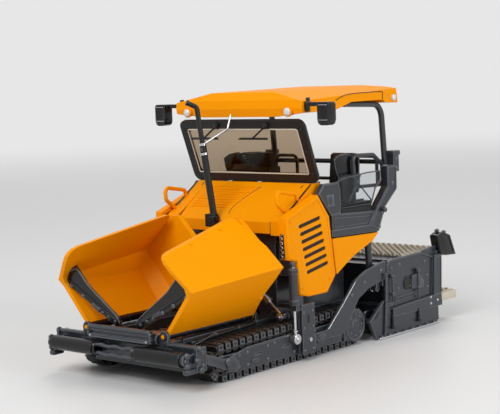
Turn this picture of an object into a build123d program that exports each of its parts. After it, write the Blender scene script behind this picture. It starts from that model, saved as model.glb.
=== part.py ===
# Asphalt paver, a 1:50 display model. Millimetres, +Z up, hopper towards -Y,
# origin on the floor at the middle of the bounding box. Left is +X.
import os
from math import atan2, cos, degrees, hypot, pi, radians, sin

from build123d import *

os.makedirs("parts", exist_ok=True)

# Clearances and walls
gap = 0.3                 # between pieces that pass or stand beside each other
pin_gap = 0.06            # radial running clearance of a pin in its eye
open_pin_gap = 0.21       # the same in a ram rod's eye, which drifts from its pin
sheet = 1.2               # folded sheet of the hopper wings
panel_wall = 1.2          # side panels and roof shell

# Tracks
track_outer_x = 24.5
shoe_width = 6.1
idler_y = -47.6
sprocket_y = 11.2
idler_loop_radius = 2.5   # inside of the chain round the idler
sprocket_loop_radius = 3.2
link_height = 0.9         # chain link, from the loop's inside to the shoe
link_notch = 0.55         # how deep the links are cut from inside
shoe_height = 1.85
shoe_count = 46
shoe_share = 0.66         # part of the pitch that a shoe covers
link_share = 0.62
track_frame_proud = 0.7   # the frame's outer plate stands outside the shoes
frame_low_z = 3.1
frame_high_z = 7.2

# Lower frame, hopper floor and conveyor
chassis_half = 17.4
chassis_front_y = -54.5
chassis_rear_y = 17.6
chassis_low_z = 3.4
deck_z = 12.4
trough_half = 10.6
trough_floor_z = 8.6
slat_pitch = 3.2
slat_height = 0.5
tunnel_top_z = 17.6
screw_radius = 1.25       # tapped M3 holes for a display base
screw_depth = 4.0
screw_front_y = -30.0
screw_rear_y = 8.0

# Tractor body, hood and side panels
body_front_y = -14.8
body_rear_y = 17.0
body_low_z = deck_z
body_top_z = 33.7
hood_half = 18.4          # the middle panel, between the corner blocks
hood_front_y = -17.5
hood_lip_z = 36.6
hood_front_z = 39.9
hood_crest_y = -3.0
hood_crest_z = 49.8
hood_rear_y = 0.6
corner_block_width = 4.2
corner_proud = 0.4        # the corner blocks stand in front of the lip
panel_outer_x = 25.5
panel_inner_x = 22.9
louvre_count = 7
louvre_length = 10.2
louvre_height = 1.15
louvre_pitch = 2.25
louvre_tilt = 10.0
louvre_top = (-8.7, 39.3)   # (y, z) centre of the highest slot
louvre_drift = 0.5          # each slot's shift to the rear
fender_outer_x = 25.7
fender_wall = 1.0

# Platform and its rear posts
floor_z = 35.2
floor_thick = 1.5
platform_half = 24.9
platform_front_y = 1.8
platform_rear_y = 27.0
post_width = 2.4
post_front_y = 30.4
post_rear_y = 35.4
post_top_z = 52.4
clamp_height = 4.0
tube_radius = 0.95
tube_x = 22.0
rail_radius = 0.55
rail_x = 22.5
guard_front_y = 17.0
rail_top_z = 56.6
rear_rail_x = 11.4          # inner end of the hoops behind the seats
seat_x = 17.2
seat_half = 4.0
seat_top_z = 57.2
side_screen_x = 24.2
dash_right_x = -17.0
dash_left_x = -1.4
dash_top_z = 54.2

# Windscreen and roof
screen_half = 24.4
screen_low = (-1.2, 50.2)   # (y, z) of its lower edge
screen_high = (-8.1, 69.0)
screen_thick = 1.0
screen_border = 2.9
glass_thick = 0.4
roof_half = 24.7
roof_front_y = -9.4
roof_rear_y = 38.2
roof_top_z = 77.3
roof_front_depth = 7.7    # from its crown down to the front lip
roof_side_depth = 6.6     # down to the side walls' edge at the front
roof_arch_depth = 4.5     # down to the edge of the raised part over the seats
roof_rear_depth = 5.7     # down to the rear lip
roof_crown_half = 12.0    # the flat middle of its crown
lamp_radius = 1.15
lamp_x = 19.7
lamp_drop = 6.2           # centres of the front lamps below the crown
mirror_width = 4.2
mirror_height = 6.6
mirror_reach = 5.2        # from the roof's side to the mirror's near edge

# Hopper wings
wing_hinge = (15.0, 13.7)   # (x, z) of the hinge line
wing_overhang = 3.9         # of the wings' front edge in front of the chassis
wing_front_y = chassis_front_y - wing_overhang
wing_rear_y = -24.0
wing_fold_front = (26.0, 26.3)   # (x, z) at y = -59
wing_fold_rear = (28.0, 28.6)    # (x, z) at y = -22
wing_top_front = (17.4, 37.0)
wing_top_rear = (12.9, 42.6)
wing_section_front_y = -59.0
wing_section_rear_y = -22.0
hinge_tube_radius = 1.0
hinge_pin_radius = 0.5
end_wall_y = wing_rear_y      # rear face of the wing's end wall
end_wall_thick = 1.9
fold_fill_front = 1.2         # chamfer along the fold inside, which widens to the rear
fold_fill_rear = 4.6
end_fill = 3.8                # chamfer between the floor and the end wall
flap_y = wing_front_y + 0.4
flap_thick = 0.6
flap_rim = 1.8

# Wing rams, which turn about pins along Y
ram_y = -18.3
ram_pin = (22.3, 13.2)      # (x, z) on the tractor
ram_lug = (11.2, 22.0)      # (x, z) on the wing's end wall
ram_eye_radius = 1.15
ram_eye_width = 1.4
ram_barrel_radius = 1.0
ram_barrel_length = 8.2
ram_rod_radius = 0.42
ram_rod_length = 7.4
ram_pin_radius = 0.45

# Push beam, rollers and apron, each placed from the one behind it
beam_stand_off = 2.4        # from the chassis to the push beam
beam_depth = 2.4
beam_rear_y = chassis_front_y - beam_stand_off
beam_front_y = beam_rear_y - beam_depth
roller_radius = 2.05
roller_stand_off = 1.6      # from the beam to the roller's skin
roller_y = beam_front_y - roller_stand_off - roller_radius
roller_z = 9.0
roller_inner_x = 8.4
roller_outer_x = 24.8
roller_shaft_radius = 0.6
beam_half = 27.2
beam_low_z = 6.2
beam_high_z = 10.6
beam_end_z = 11.8           # the beam's ends stand higher
beam_end_length = 9.6
apron_hinge = (beam_front_y - gap, 12.7)   # (y, z)
apron_half = 12.2
apron_pin_radius = 0.45
apron_lug_radius = 1.3
apron_lug_thick = 0.8

# Tow arms, screed and its parts
tow_pin = (-12.6, 6.1)        # (y, z)
tow_pin_radius = 0.6
arm_inner_x = 25.95
arm_outer_x = 26.85
rail_inner_x = 25.3
rail_outer_x = 27.3
rail_wall = 0.45
rail_front_y = -15.8
rail_rear_y = -10.2
rail_low_z = 2.0
rail_high_z = 16.3
level_y = -18.0
level_x = 26.3
screed_front_y = 27.6
screed_rear_y = 43.0
screed_half = 25.0
screed_low_z = 0.0
screed_top_z = 9.5
carrier_front_y = 30.0
carrier_rear_y = 41.0
carrier_top_z = 21.6
deck_board_z = 23.0
deck_rear_y = 64.0
ext_front_y = 44.4
ext_rear_y = 56.0
ext_inner_x = 0.5
gate_inner_x = 25.9
gate_outer_x = 27.1
walk_rear_y = 65.0
walk_z = 9.4
guide_radius = 0.9
guide_y = 42.7
guide_left_z = 17.6
guide_right_z = 14.0

# Screed lift cylinders, which turn about pins along X
lift_x = 23.5
lift_pin = (21.8, 31.0)       # (y, z) under the platform
lift_eye = (22.6, 15.6)       # (y, z) on the tow arm
lift_barrel_radius = 1.05
lift_barrel_length = 9.2
lift_rod_radius = 0.45
lift_rod_length = 7.6
lift_eye_radius = 1.1
lift_eye_width = 1.6
lift_pin_radius = 0.5
lift_boss_radius = 1.0

# Spreading augers
auger_y = 21.6
auger_z = 5.4
auger_radius = 3.2
auger_shaft_radius = 0.8
auger_inner_x = 2.2
auger_outer_x = 24.4
flight_count = 6
flight_tilt = 16.0
flight_thick = 0.5


# Shapes that many pieces share
def side_shape(points, x_from, x_to, mode=Mode.ADD):
    """An outline of (y, z) points, as thick as from x_from to x_to."""
    with BuildSketch(Plane.YZ.offset(x_from)) as outline:
        with BuildLine():
            Polyline(*points, close=True)
        make_face()
    extrude(outline.sketch, amount=x_to - x_from, mode=mode)


def cross_shape(points, y_from, y_to, mode=Mode.ADD):
    """An outline of (x, z) points, as thick as from y_from to y_to."""
    with BuildSketch(Plane.XZ.offset(-y_from)) as outline:
        with BuildLine():
            Polyline(*points, close=True)
        make_face()
    extrude(outline.sketch, amount=y_from - y_to, mode=mode)


def block(x_from, x_to, y_from, y_to, z_from, z_to, mode=Mode.ADD):
    """A box between two corners."""
    centre = ((x_from + x_to) / 2, (y_from + y_to) / 2, (z_from + z_to) / 2)
    with Locations(centre):
        Box(abs(x_to - x_from), abs(y_to - y_from), abs(z_to - z_from), mode=mode)


def rod(start, end, radius, mode=Mode.ADD):
    """A round bar from one point to another."""
    run = Vector(*end) - Vector(*start)
    with BuildSketch(Plane(origin=start, z_dir=run)) as section:
        Circle(radius)
    extrude(section.sketch, amount=run.length, mode=mode)


def bent_tube(points, bend, radius):
    """A round tube along straight runs with arcs of one radius between them."""
    with BuildLine() as path:
        FilletPolyline(*points, radius=bend)
    with BuildSketch(Plane(origin=path.line @ 0, z_dir=path.line % 0)) as section:
        Circle(radius)
    sweep(section.sketch, path=path.line)


def keep(piece, label):
    """Name a finished piece and write it."""
    piece.part.label = label
    export_step(piece.part, f"parts/{label}.step")


def keep_pair(left, label):
    """Write the left piece and its mirror image on the right."""
    with BuildPart() as right:
        mirror(left.part, about=Plane.YZ)
    keep(left, f"{label}_left")
    keep(right, f"{label}_right")


def both_sides(left_part):
    """Join a left piece with its mirror image in the part being built."""
    add(left_part)
    mirror(left_part, about=Plane.YZ)


# Tracks: chain links inside, shoes outside, in one closed loop
outer_height = link_height + shoe_height
idler_centre = (idler_y, idler_loop_radius + outer_height)
sprocket_centre = (sprocket_y, sprocket_loop_radius + outer_height)
run_angle = atan2(sprocket_centre[1] - idler_centre[1], sprocket_y - idler_y)
top_angle = 2 * run_angle
run_length = sprocket_y - idler_y
sprocket_arc = (pi + top_angle) * sprocket_loop_radius
idler_arc = (pi - top_angle) * idler_loop_radius
loop_length = 2 * run_length + sprocket_arc + idler_arc
shoe_pitch = loop_length / shoe_count


def loop_point(distance, height):
    """A point at a distance along the track's inside, moved outwards by height."""
    s = distance % loop_length
    if s < run_length:
        return (idler_y + s, outer_height - height)
    s -= run_length
    if s < sprocket_arc:
        turn = s / sprocket_loop_radius - pi / 2
        reach = sprocket_loop_radius + height
        return (sprocket_centre[0] + reach * cos(turn), sprocket_centre[1] + reach * sin(turn))
    s -= sprocket_arc
    normal = (-sin(top_angle), cos(top_angle))
    if s < run_length:
        reach = sprocket_loop_radius + height
        return (sprocket_centre[0] + normal[0] * reach - s * cos(top_angle),
                sprocket_centre[1] + normal[1] * reach - s * sin(top_angle))
    turn = (s - run_length) / idler_loop_radius + pi / 2 + top_angle
    reach = idler_loop_radius + height
    return (idler_centre[0] + reach * cos(turn), idler_centre[1] + reach * sin(turn))


def toothed_loop(low, high, share):
    """A closed outline with one tooth for each shoe."""
    points = []
    for shoe in range(shoe_count):
        start = shoe * shoe_pitch
        end = start + share * shoe_pitch
        points += [loop_point(start, low), loop_point(start, high),
                   loop_point(end, high), loop_point(end, low)]
    return points


with BuildPart() as track:
    track_inner_x = track_outer_x - shoe_width
    side_shape(toothed_loop(link_height, outer_height, shoe_share), track_inner_x, track_outer_x)
    side_shape(toothed_loop(link_notch, 0.0, link_share), track_inner_x, track_outer_x,
               mode=Mode.SUBTRACT)
keep_pair(track, "track")

# Track frames with idler, drive wheel and cover
frame_inner_x = track_inner_x + 0.9
frame_plate_x = track_outer_x + track_frame_proud
with BuildPart() as track_frame:
    block(frame_inner_x, track_outer_x + 0.3, idler_y, sprocket_y, frame_low_z, frame_high_z)
    for wheel_y, wheel_z, wheel_radius in ((*idler_centre, idler_loop_radius),
                                           (*sprocket_centre, sprocket_loop_radius)):
        rod((frame_inner_x, wheel_y, wheel_z), (track_outer_x, wheel_y, wheel_z),
            wheel_radius - 0.3)
    side_shape([(-46.5, 2.6), (-44.5, 6.6), (-38.0, 7.7), (-11.0, 8.3), (5.0, 8.5),
                (5.0, 2.3), (-41.0, 2.1)], track_outer_x + gap, frame_plate_x)
    rod((track_outer_x + gap, sprocket_y + 0.6, sprocket_centre[1]),
        (frame_plate_x + 0.1, sprocket_y + 0.6, sprocket_centre[1]), 4.9)
    block(track_outer_x + gap, frame_plate_x + 0.1, sprocket_y - 5.2, sprocket_y + 0.6,
          2.0, sprocket_centre[1] + 4.9)
    for beam_y in (-34.0, -4.0):
        block(chassis_half + 0.1, frame_inner_x, beam_y - 3, beam_y + 3, 4.0, 7.0)
    for slot_y in (-33.0, -21.0):
        block(track_outer_x + gap, frame_plate_x, slot_y - 1.6, slot_y + 1.6, 5.2, 5.8,
              mode=Mode.SUBTRACT)
keep_pair(track_frame, "track_frame")

# Lower frame with the conveyor trough and the hinge brackets of the wings
bracket_thick = 0.9
ram_bracket_y = ram_y + 1.2
ram_bracket_thick = 1.4
with BuildPart() as chassis:
    block(-chassis_half, chassis_half, chassis_front_y, chassis_rear_y, chassis_low_z, deck_z)
    block(-trough_half, trough_half, chassis_front_y, chassis_rear_y, trough_floor_z, deck_z,
          mode=Mode.SUBTRACT)
    for side in (-1, 1):
        hinge_x = side * wing_hinge[0]
        for bracket_y in (wing_front_y - gap - bracket_thick, wing_rear_y + gap):
            rod((hinge_x, bracket_y, wing_hinge[1]),
                (hinge_x, bracket_y + bracket_thick, wing_hinge[1]), 1.5)
            block(hinge_x - 1.5, hinge_x + 1.5, bracket_y, bracket_y + bracket_thick,
                  deck_z - 1.4, wing_hinge[1])
        block(hinge_x - 1.5, hinge_x + 1.5, wing_front_y - gap - bracket_thick,
              chassis_front_y + 0.5, beam_high_z + gap, deck_z - 0.2)
        ram_x = side * ram_pin[0]
        block(side * (chassis_half - 0.5), ram_x, ram_bracket_y, ram_bracket_y + ram_bracket_thick,
              deck_z - 0.4, ram_pin[1] + 0.8)
        rod((ram_x, ram_bracket_y, ram_pin[1]), (ram_x, ram_bracket_y + ram_bracket_thick, ram_pin[1]),
            1.2)
        rod((ram_x, ram_bracket_y - 1, ram_pin[1]), (ram_x, ram_bracket_y + 3, ram_pin[1]),
            ram_pin_radius, mode=Mode.SUBTRACT)
        rod((hinge_x, wing_front_y - 2, wing_hinge[1]), (hinge_x, wing_rear_y + 2, wing_hinge[1]),
            hinge_pin_radius, mode=Mode.SUBTRACT)
    for screw_y in (screw_front_y, screw_rear_y):
        rod((0, screw_y, chassis_low_z), (0, screw_y, chassis_low_z + screw_depth),
            screw_radius, mode=Mode.SUBTRACT)
keep(chassis, "chassis")

# Conveyor: two slatted belts and the rail between them
conveyor_half = trough_half - gap
with BuildPart() as conveyor:
    block(-conveyor_half, conveyor_half, chassis_front_y + 0.5, chassis_rear_y,
          trough_floor_z, trough_floor_z + 0.6)
    block(-0.6, 0.6, chassis_front_y + 0.5, chassis_rear_y, trough_floor_z, trough_floor_z + 1.6)
    slat_count = int((chassis_rear_y - chassis_front_y) / slat_pitch) - 1
    for slat in range(slat_count):
        slat_y = chassis_front_y + 2.5 + slat * slat_pitch
        for slat_x in (1.2, -conveyor_half + 0.5):
            block(slat_x, slat_x + conveyor_half - 1.7, slat_y, slat_y + 0.7,
                  trough_floor_z + 0.6, trough_floor_z + 0.6 + slat_height)
keep(conveyor, "conveyor")

# Tractor body: dark core with the conveyor's tunnel through it
with BuildPart() as tractor_body:
    block(-chassis_half, chassis_half, body_front_y, body_rear_y, body_low_z, body_top_z)
    block(-trough_half, trough_half, body_front_y, body_rear_y, body_low_z, tunnel_top_z,
          mode=Mode.SUBTRACT)
    block(-hood_half + 0.6, hood_half - 0.6, body_front_y, hood_crest_y, body_top_z, hood_lip_z)
    block(-23.6, 23.6, body_front_y + 1.8, -0.4, 24.0, body_top_z)
keep(tractor_body, "tractor_body")

# Hood with its front lip and the blocks at its front corners
with BuildPart() as hood:
    hood_rise = [(hood_front_y, hood_lip_z), (hood_front_y, hood_front_z),
                 (hood_crest_y, hood_crest_z), (hood_rear_y, hood_crest_z), (hood_rear_y, hood_lip_z)]
    side_shape(hood_rise, -hood_half, hood_half)
    corner_front_y = hood_front_y - corner_proud
    for side in (-1, 1):
        side_shape([(corner_front_y, hood_lip_z - corner_proud),
                    (corner_front_y, hood_front_z + corner_proud), (hood_crest_y, hood_crest_z),
                    (hood_rear_y, hood_crest_z), (hood_rear_y, hood_lip_z - corner_proud)],
                   side * hood_half, side * (hood_half + corner_block_width))
keep(hood, "hood")

# Side panels: trays open to the inside, with slanted louvre slots
panel_outline = [(-4.6, 46.8), (-19.6, 41.5), (-19.0, 29.6), (-15.2, 28.8), (-14.5, 19.0),
                 (-10.3, 18.0), (-1.6, 18.0), (2.6, 22.5), (1.2, 33.3), (0.4, 40.0)]
panel_hollow = [(-5.2, 45.4), (-18.3, 40.7), (-17.8, 30.8), (-13.9, 29.8), (-13.2, 20.2),
                (-2.1, 19.2), (1.3, 22.9), (0.0, 33.2), (-0.8, 39.8)]
with BuildPart() as side_panel:
    side_shape(panel_outline, panel_inner_x, panel_outer_x)
    side_shape(panel_hollow, panel_inner_x, panel_outer_x - panel_wall, mode=Mode.SUBTRACT)
    for slot in range(louvre_count):
        slot_centre = (louvre_top[0] + slot * louvre_drift, louvre_top[1] - slot * louvre_pitch)
        with BuildSketch(Plane.YZ.offset(panel_outer_x - panel_wall)) as louvre:
            with Locations(slot_centre):
                SlotOverall(louvre_length, louvre_height, rotation=louvre_tilt)
        extrude(louvre.sketch, amount=panel_wall, mode=Mode.SUBTRACT)
keep_pair(side_panel, "side_panel")

# Fenders behind the side panels
with BuildPart() as fender_left:
    side_shape([(1.6, 33.3), (24.1, 32.6), (21.5, 30.4), (11.4, 27.6), (3.0, 22.8)],
               fender_outer_x - fender_wall, fender_outer_x)
with BuildPart() as fenders:
    both_sides(fender_left.part)
keep(fenders, "fenders")

# Platform: floor, side beams, side boards and the slanted rear posts
beam_outer_x = platform_half + 0.6
with BuildPart() as platform_side:
    side_shape([(platform_front_y, 33.8), (platform_front_y, 35.6), (20.4, 35.2), (24.8, 40.6),
                (post_front_y, 46.2), (post_front_y, post_top_z), (post_rear_y, post_top_z),
                (post_rear_y - 0.2, 45.0), (28.8, 40.0), (25.2, 33.0)],
               beam_outer_x - post_width, beam_outer_x)
    side_shape([(2.6, 35.0), (2.6, 40.4), (24.6, 39.2), (20.6, 34.6)],
               beam_outer_x - 1.6, beam_outer_x - 0.5)
    side_shape([(-3.8, 46.9), (-1.4, 49.6), (5.6, 49.6), (6.6, 47.2), (6.4, 40.2), (1.9, 40.0)],
               beam_outer_x - 1.6, beam_outer_x - 0.2)
with BuildPart() as platform:
    block(-platform_half, platform_half, platform_front_y, platform_rear_y, floor_z - floor_thick,
          floor_z)
    both_sides(platform_side.part)
    block(-hood_half, hood_half, 1.0, 6.0, floor_z, 49.6)
    for side in (-1, 1):
        block(side * (beam_outer_x - post_width), side * beam_outer_x, post_rear_y - 1.4,
              post_rear_y + 1.4, post_top_z - 2.0, post_top_z + clamp_height)
    block(-16.0, 16.0, body_rear_y, body_rear_y + 6.0, floor_z - 4.0, floor_z)
    for side in (-1, 1):
        block(side * (lift_x - 0.9 - gap), side * (lift_x - 1.9 - gap), lift_pin[0] - 1.4,
              lift_pin[0] + 1.4, lift_pin[1] - 1.4, floor_z)
keep(platform, "platform")

# Roof shell: crowned, deeper at the front, raised over the seats, hollow from below
def roof_section(side_drop, shoulder_drop, crown_drop):
    """Half of the crown's cut as (x, z) points, from its middle out and down."""
    shoulder_x = roof_half - 4.0
    return [(roof_crown_half, roof_top_z - crown_drop), (shoulder_x, roof_top_z - shoulder_drop),
            (roof_half, roof_top_z - side_drop), (roof_half, roof_top_z - 2 * roof_front_depth)]


with BuildPart() as roof:
    roof_cuts = []
    for cut_y, drops in ((roof_front_y, (3.2, 2.4, 0.5)), (roof_rear_y, (1.2, 0.6, 0.0))):
        half_cut = roof_section(*drops)
        with BuildSketch(Plane.XZ.offset(-cut_y)) as roof_cut:
            with BuildLine():
                Polyline(*half_cut, *[(-x, z) for x, z in reversed(half_cut)], close=True)
            make_face()
        roof_cuts.append(roof_cut.sketch.face())
    loft(roof_cuts, ruled=True)
    front_lip_z = roof_top_z - roof_front_depth
    side_edge_z = roof_top_z - roof_side_depth
    arch_z = roof_top_z - roof_arch_depth
    rear_lip_z = roof_top_z - roof_rear_depth
    side_shape([(roof_front_y + 0.7, front_lip_z), (roof_front_y, front_lip_z + 2.4),
                (roof_front_y + 0.3, roof_top_z - 2.8), (roof_front_y + 2.4, roof_top_z - 0.5),
                (roof_front_y + 4.0, roof_top_z + 1.0), (roof_rear_y - 2.4, roof_top_z + 1.0),
                (roof_rear_y - 0.8, roof_top_z - 0.8), (roof_rear_y, rear_lip_z + 0.4),
                (roof_rear_y - 0.4, rear_lip_z), (31.2, rear_lip_z + 0.4), (30.4, arch_z),
                (14.2, arch_z), (7.0, side_edge_z + 0.2), (roof_front_y + 5.0, front_lip_z)],
               -roof_half, roof_half, mode=Mode.INTERSECT)
    for side in (-1, 1):
        cross_shape([(side * (roof_crown_half + 2.0), front_lip_z - 5.0),
                     (side * (roof_crown_half + 2.0), front_lip_z),
                     (side * roof_half, side_edge_z), (side * roof_half, front_lip_z - 5.0)],
                    roof_front_y - 1.0, 7.0, mode=Mode.SUBTRACT)
    hollow_half = roof_half - panel_wall
    cross_shape([(-hollow_half, front_lip_z - 5.0), (-hollow_half, roof_top_z - 4.5),
                 (-roof_crown_half, roof_top_z - 1.8), (roof_crown_half, roof_top_z - 1.8),
                 (hollow_half, roof_top_z - 4.5), (hollow_half, front_lip_z - 5.0)],
                roof_front_y + 2.6, roof_rear_y - panel_wall, mode=Mode.SUBTRACT)
keep(roof, "roof")

# Roof tubes, bent over at the top and joined behind the seats
with BuildPart() as roof_tube_left:
    tube_top_z = rear_lip_z - 0.25
    tube_foot_y = post_rear_y - 1.2
    bent_tube([(tube_x, roof_front_y + 23.4, tube_top_z + 0.9),
               (tube_x, roof_rear_y - 5.4, tube_top_z),
               (tube_x, tube_foot_y, post_top_z + 0.1)], 4.5, tube_radius)
with BuildPart() as roof_tubes:
    both_sides(roof_tube_left.part)
    rod((-tube_x, tube_foot_y, post_top_z + 1.0), (tube_x, tube_foot_y, post_top_z + 1.0),
        tube_radius * 0.8)
    add(roof.part, mode=Mode.SUBTRACT)
keep(roof_tubes, "roof_tubes")

# Four round roof lamps: two on the front lip, two on the sides at the rear corners
with BuildPart() as lamp_left:
    front_lamp_z = roof_top_z - lamp_drop
    rod((lamp_x, roof_front_y + 1.6, front_lamp_z), (lamp_x, roof_front_y - 0.7, front_lamp_z),
        lamp_radius)
    rear_lamp_y = roof_rear_y - 2.4
    rod((roof_half - 0.4, rear_lamp_y, rear_lip_z + 1.6), (roof_half + 0.4, rear_lamp_y, rear_lip_z + 1.6),
        lamp_radius * 0.85)
    add(roof.part, mode=Mode.SUBTRACT)
with BuildPart() as roof_lamps:
    both_sides(lamp_left.part)
keep(roof_lamps, "roof_lamps")

# Mirrors on arms at the roof's front corners
with BuildPart() as mirror_left:
    mirror_x = roof_half + mirror_reach
    mirror_y = roof_front_y + 1.9
    mirror_top_z = roof_top_z - 3.6
    block(mirror_x, mirror_x + mirror_width, mirror_y - 1.7, mirror_y + 1.7,
          mirror_top_z - mirror_height, mirror_top_z)
    block(roof_half + 0.05, mirror_x, mirror_y - 0.6, mirror_y + 0.6, mirror_top_z - 1.2, mirror_top_z)
    block(roof_half + 0.05, roof_half + 0.9, mirror_y - 0.9, mirror_y + 0.9, side_edge_z + 0.3,
          mirror_top_z)
with BuildPart() as mirrors:
    both_sides(mirror_left.part)
keep(mirrors, "mirrors")

# Windscreen: frame, pane and two wipers on its slanted plane
screen_rise = Vector(0, screen_high[0] - screen_low[0], screen_high[1] - screen_low[1])
screen_length = screen_rise.length
screen_plane = Plane(origin=(0, *screen_low), x_dir=(1, 0, 0),
                     z_dir=Vector(1, 0, 0).cross(screen_rise))
with BuildPart() as windscreen_frame:
    with BuildSketch(screen_plane) as border:
        with Locations((0, screen_length / 2)):
            RectangleRounded(2 * screen_half, screen_length, 2.4)
            RectangleRounded(2 * (screen_half - screen_border), screen_length - 2 * screen_border,
                             1.6, mode=Mode.SUBTRACT)
    extrude(border.sketch, amount=screen_thick)
keep(windscreen_frame, "windscreen_frame")

with BuildPart() as windscreen_glass:
    with BuildSketch(screen_plane.offset(0.3)) as pane:
        with Locations((0, screen_length / 2)):
            RectangleRounded(2 * (screen_half - screen_border) - 0.1,
                             screen_length - 2 * screen_border - 0.1, 1.55)
    extrude(pane.sketch, amount=glass_thick)
keep(windscreen_glass, "windscreen_glass")

with BuildPart() as wipers:
    for pivot_x in (-9.0, 10.5):
        with BuildSketch(screen_plane.offset(screen_thick)) as wiper:
            with Locations((pivot_x, screen_length - 1.6)):
                Circle(0.7)
            with Locations((pivot_x - 3.2, screen_length - 3.6)):
                Rectangle(8.0, 0.5, rotation=32)
            with Locations((pivot_x - 6.2, screen_length - 5.8)):
                Rectangle(10.6, 0.5)
        extrude(wiper.sketch, amount=0.5)
keep(wipers, "wipers")

# Exhaust stack, its foot on the hood and its silver brace
stack_foot = Vector(-2.3, hood_front_y - 1.1, hood_front_z)
stack_sleeve = stack_foot + Vector(-3.1, -0.4, 22.2)    # where the wide lower tube ends
stack_bend = stack_foot + Vector(-4.6, -0.7, 33.2)
stack_tip = stack_bend + Vector(-1.9, -2.3, 1.5)
stack_radius = 0.75
sleeve_radius = 1.0
with BuildPart() as stack:
    bent_tube([stack_foot, stack_bend, stack_tip], 1.2, stack_radius)
    rod(tuple(stack_foot), tuple(stack_sleeve), sleeve_radius)
    block(stack_foot.X - 2.6, stack_foot.X + 0.5, hood_front_y - 2.4, hood_front_y,
          stack_foot.Z - 1.9, stack_foot.Z + 1.8)
    add(hood.part, mode=Mode.SUBTRACT)
keep(stack, "stack")

brace_radius = 0.32
with BuildPart() as stack_brace:
    brace_corner = (stack_sleeve.X + 2.4, roof_front_y - 1.0, stack_sleeve.Z + 4.2)
    rod(tuple(stack_sleeve), brace_corner, brace_radius)
    rod(brace_corner, (brace_corner[0], roof_front_y + 0.8, front_lip_z + 1.0), brace_radius)
    with Locations(brace_corner):
        Sphere(brace_radius)
    add(stack.part, mode=Mode.SUBTRACT)
    add(roof.part, mode=Mode.SUBTRACT)
keep(stack_brace, "stack_brace")

# Dashboard with a raised box at its end
with BuildPart() as dashboard:
    side_shape([(6.4, floor_z), (6.4, dash_top_z - 1.6), (8.0, dash_top_z), (11.6, dash_top_z - 0.8),
                (11.6, floor_z)], dash_right_x, dash_left_x)
    block(dash_left_x - 6.0, dash_left_x - 0.6, 7.4, 10.2, dash_top_z - 1.0, dash_top_z + 3.6)
keep(dashboard, "dashboard")

# Seats on their boxes, with an armrest console at each side
with BuildPart() as seat_left:
    seat_z = floor_z + 6.4
    seat_out_x = seat_x + seat_half
    block(seat_x - seat_half, seat_out_x, 12.0, 18.4, seat_z, seat_z + 1.8)
    side_shape([(16.4, seat_z + 1.8), (18.4, seat_z + 1.8), (20.2, seat_top_z - 0.6), (19.4, seat_top_z),
                (18.2, seat_top_z - 0.6)], seat_x - seat_half, seat_out_x)
    block(seat_x - 1.8, seat_x + 1.8, 13.4, 17.0, floor_z, seat_z)
    block(seat_out_x - 0.4, seat_out_x + 0.4, 12.4, 23.0, floor_z, seat_z + 1.4)
    side_shape([(12.6, seat_z + 1.0), (12.8, 49.3), (15.8, 50.2), (21.2, 50.1), (21.2, 48.6), (20.1, 47.0),
                (18.5, 44.8), (15.9, 44.9), (15.6, seat_z + 1.0)], seat_out_x - 0.4, seat_out_x + 0.4)
with BuildPart() as seats:
    both_sides(seat_left.part)
keep(seats, "seats")

# Guard rails: a hoop beside each seat, a cross bar to its post and a hoop behind
with BuildPart() as guard_left:
    rail_foot_y = post_rear_y - 3.6
    bent_tube([(rail_x, guard_front_y, floor_z), (rail_x, guard_front_y, rail_top_z),
               (rail_x, rail_foot_y - 4.4, rail_top_z - 0.4), (rail_x, rail_foot_y, rail_top_z - 3.6),
               (rail_x, rail_foot_y, 45.5)], 1.8, rail_radius)
    rod((rail_x, guard_front_y, 47.0), (rail_x, rail_foot_y, 46.6), rail_radius)
    rear_rail_y = rail_foot_y + 0.6
    rear_leg_x = rail_x - 2.3
    bent_tube([(rear_leg_x, rear_rail_y, 46.4), (rear_leg_x, rear_rail_y, rail_top_z - 1.4),
               (rear_rail_x, rear_rail_y, rail_top_z - 1.4), (rear_rail_x, rear_rail_y, 47.4)],
              1.8, rail_radius)
    rod((rear_rail_x, rear_rail_y, 48.0), (-1.0, rear_rail_y, 48.0), rail_radius)
    rod((rear_leg_x, rear_rail_y, 47.0), (beam_outer_x - post_width + 0.2, rear_rail_y, 47.0), rail_radius)
    add(platform.part, mode=Mode.SUBTRACT)
with BuildPart() as guard_rails:
    both_sides(guard_left.part)
keep(guard_rails, "guard_rails")

# Clear side screens between the side boards and the rear posts
with BuildPart() as screen_left:
    side_shape([(6.9, 41.2), (6.9, 49.8), (10.9, 50.6), (21.5, 51.3), (28.6, 51.4), (28.8, 48.0),
                (26.2, 46.0), (23.8, 41.2)], side_screen_x - glass_thick, side_screen_x)
    add(platform.part, mode=Mode.SUBTRACT)
with BuildPart() as side_screens:
    both_sides(screen_left.part)
keep(side_screens, "side_screens")

# Grab handles that stand on the hood's corners
handle_radius = 0.6
handle_x = 21.9
with BuildPart() as handle_left:
    bent_tube([(handle_x, -14.0, 41.9), (handle_x, -18.6, 45.2), (handle_x, -18.8, 49.0),
               (handle_x, -10.2, 47.5), (handle_x, -9.2, 44.8)], 1.4, handle_radius)
    add(hood.part, mode=Mode.SUBTRACT)
    add(side_panel.part, mode=Mode.SUBTRACT)
with BuildPart() as grab_handles:
    both_sides(handle_left.part)
keep(grab_handles, "grab_handles")

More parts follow.
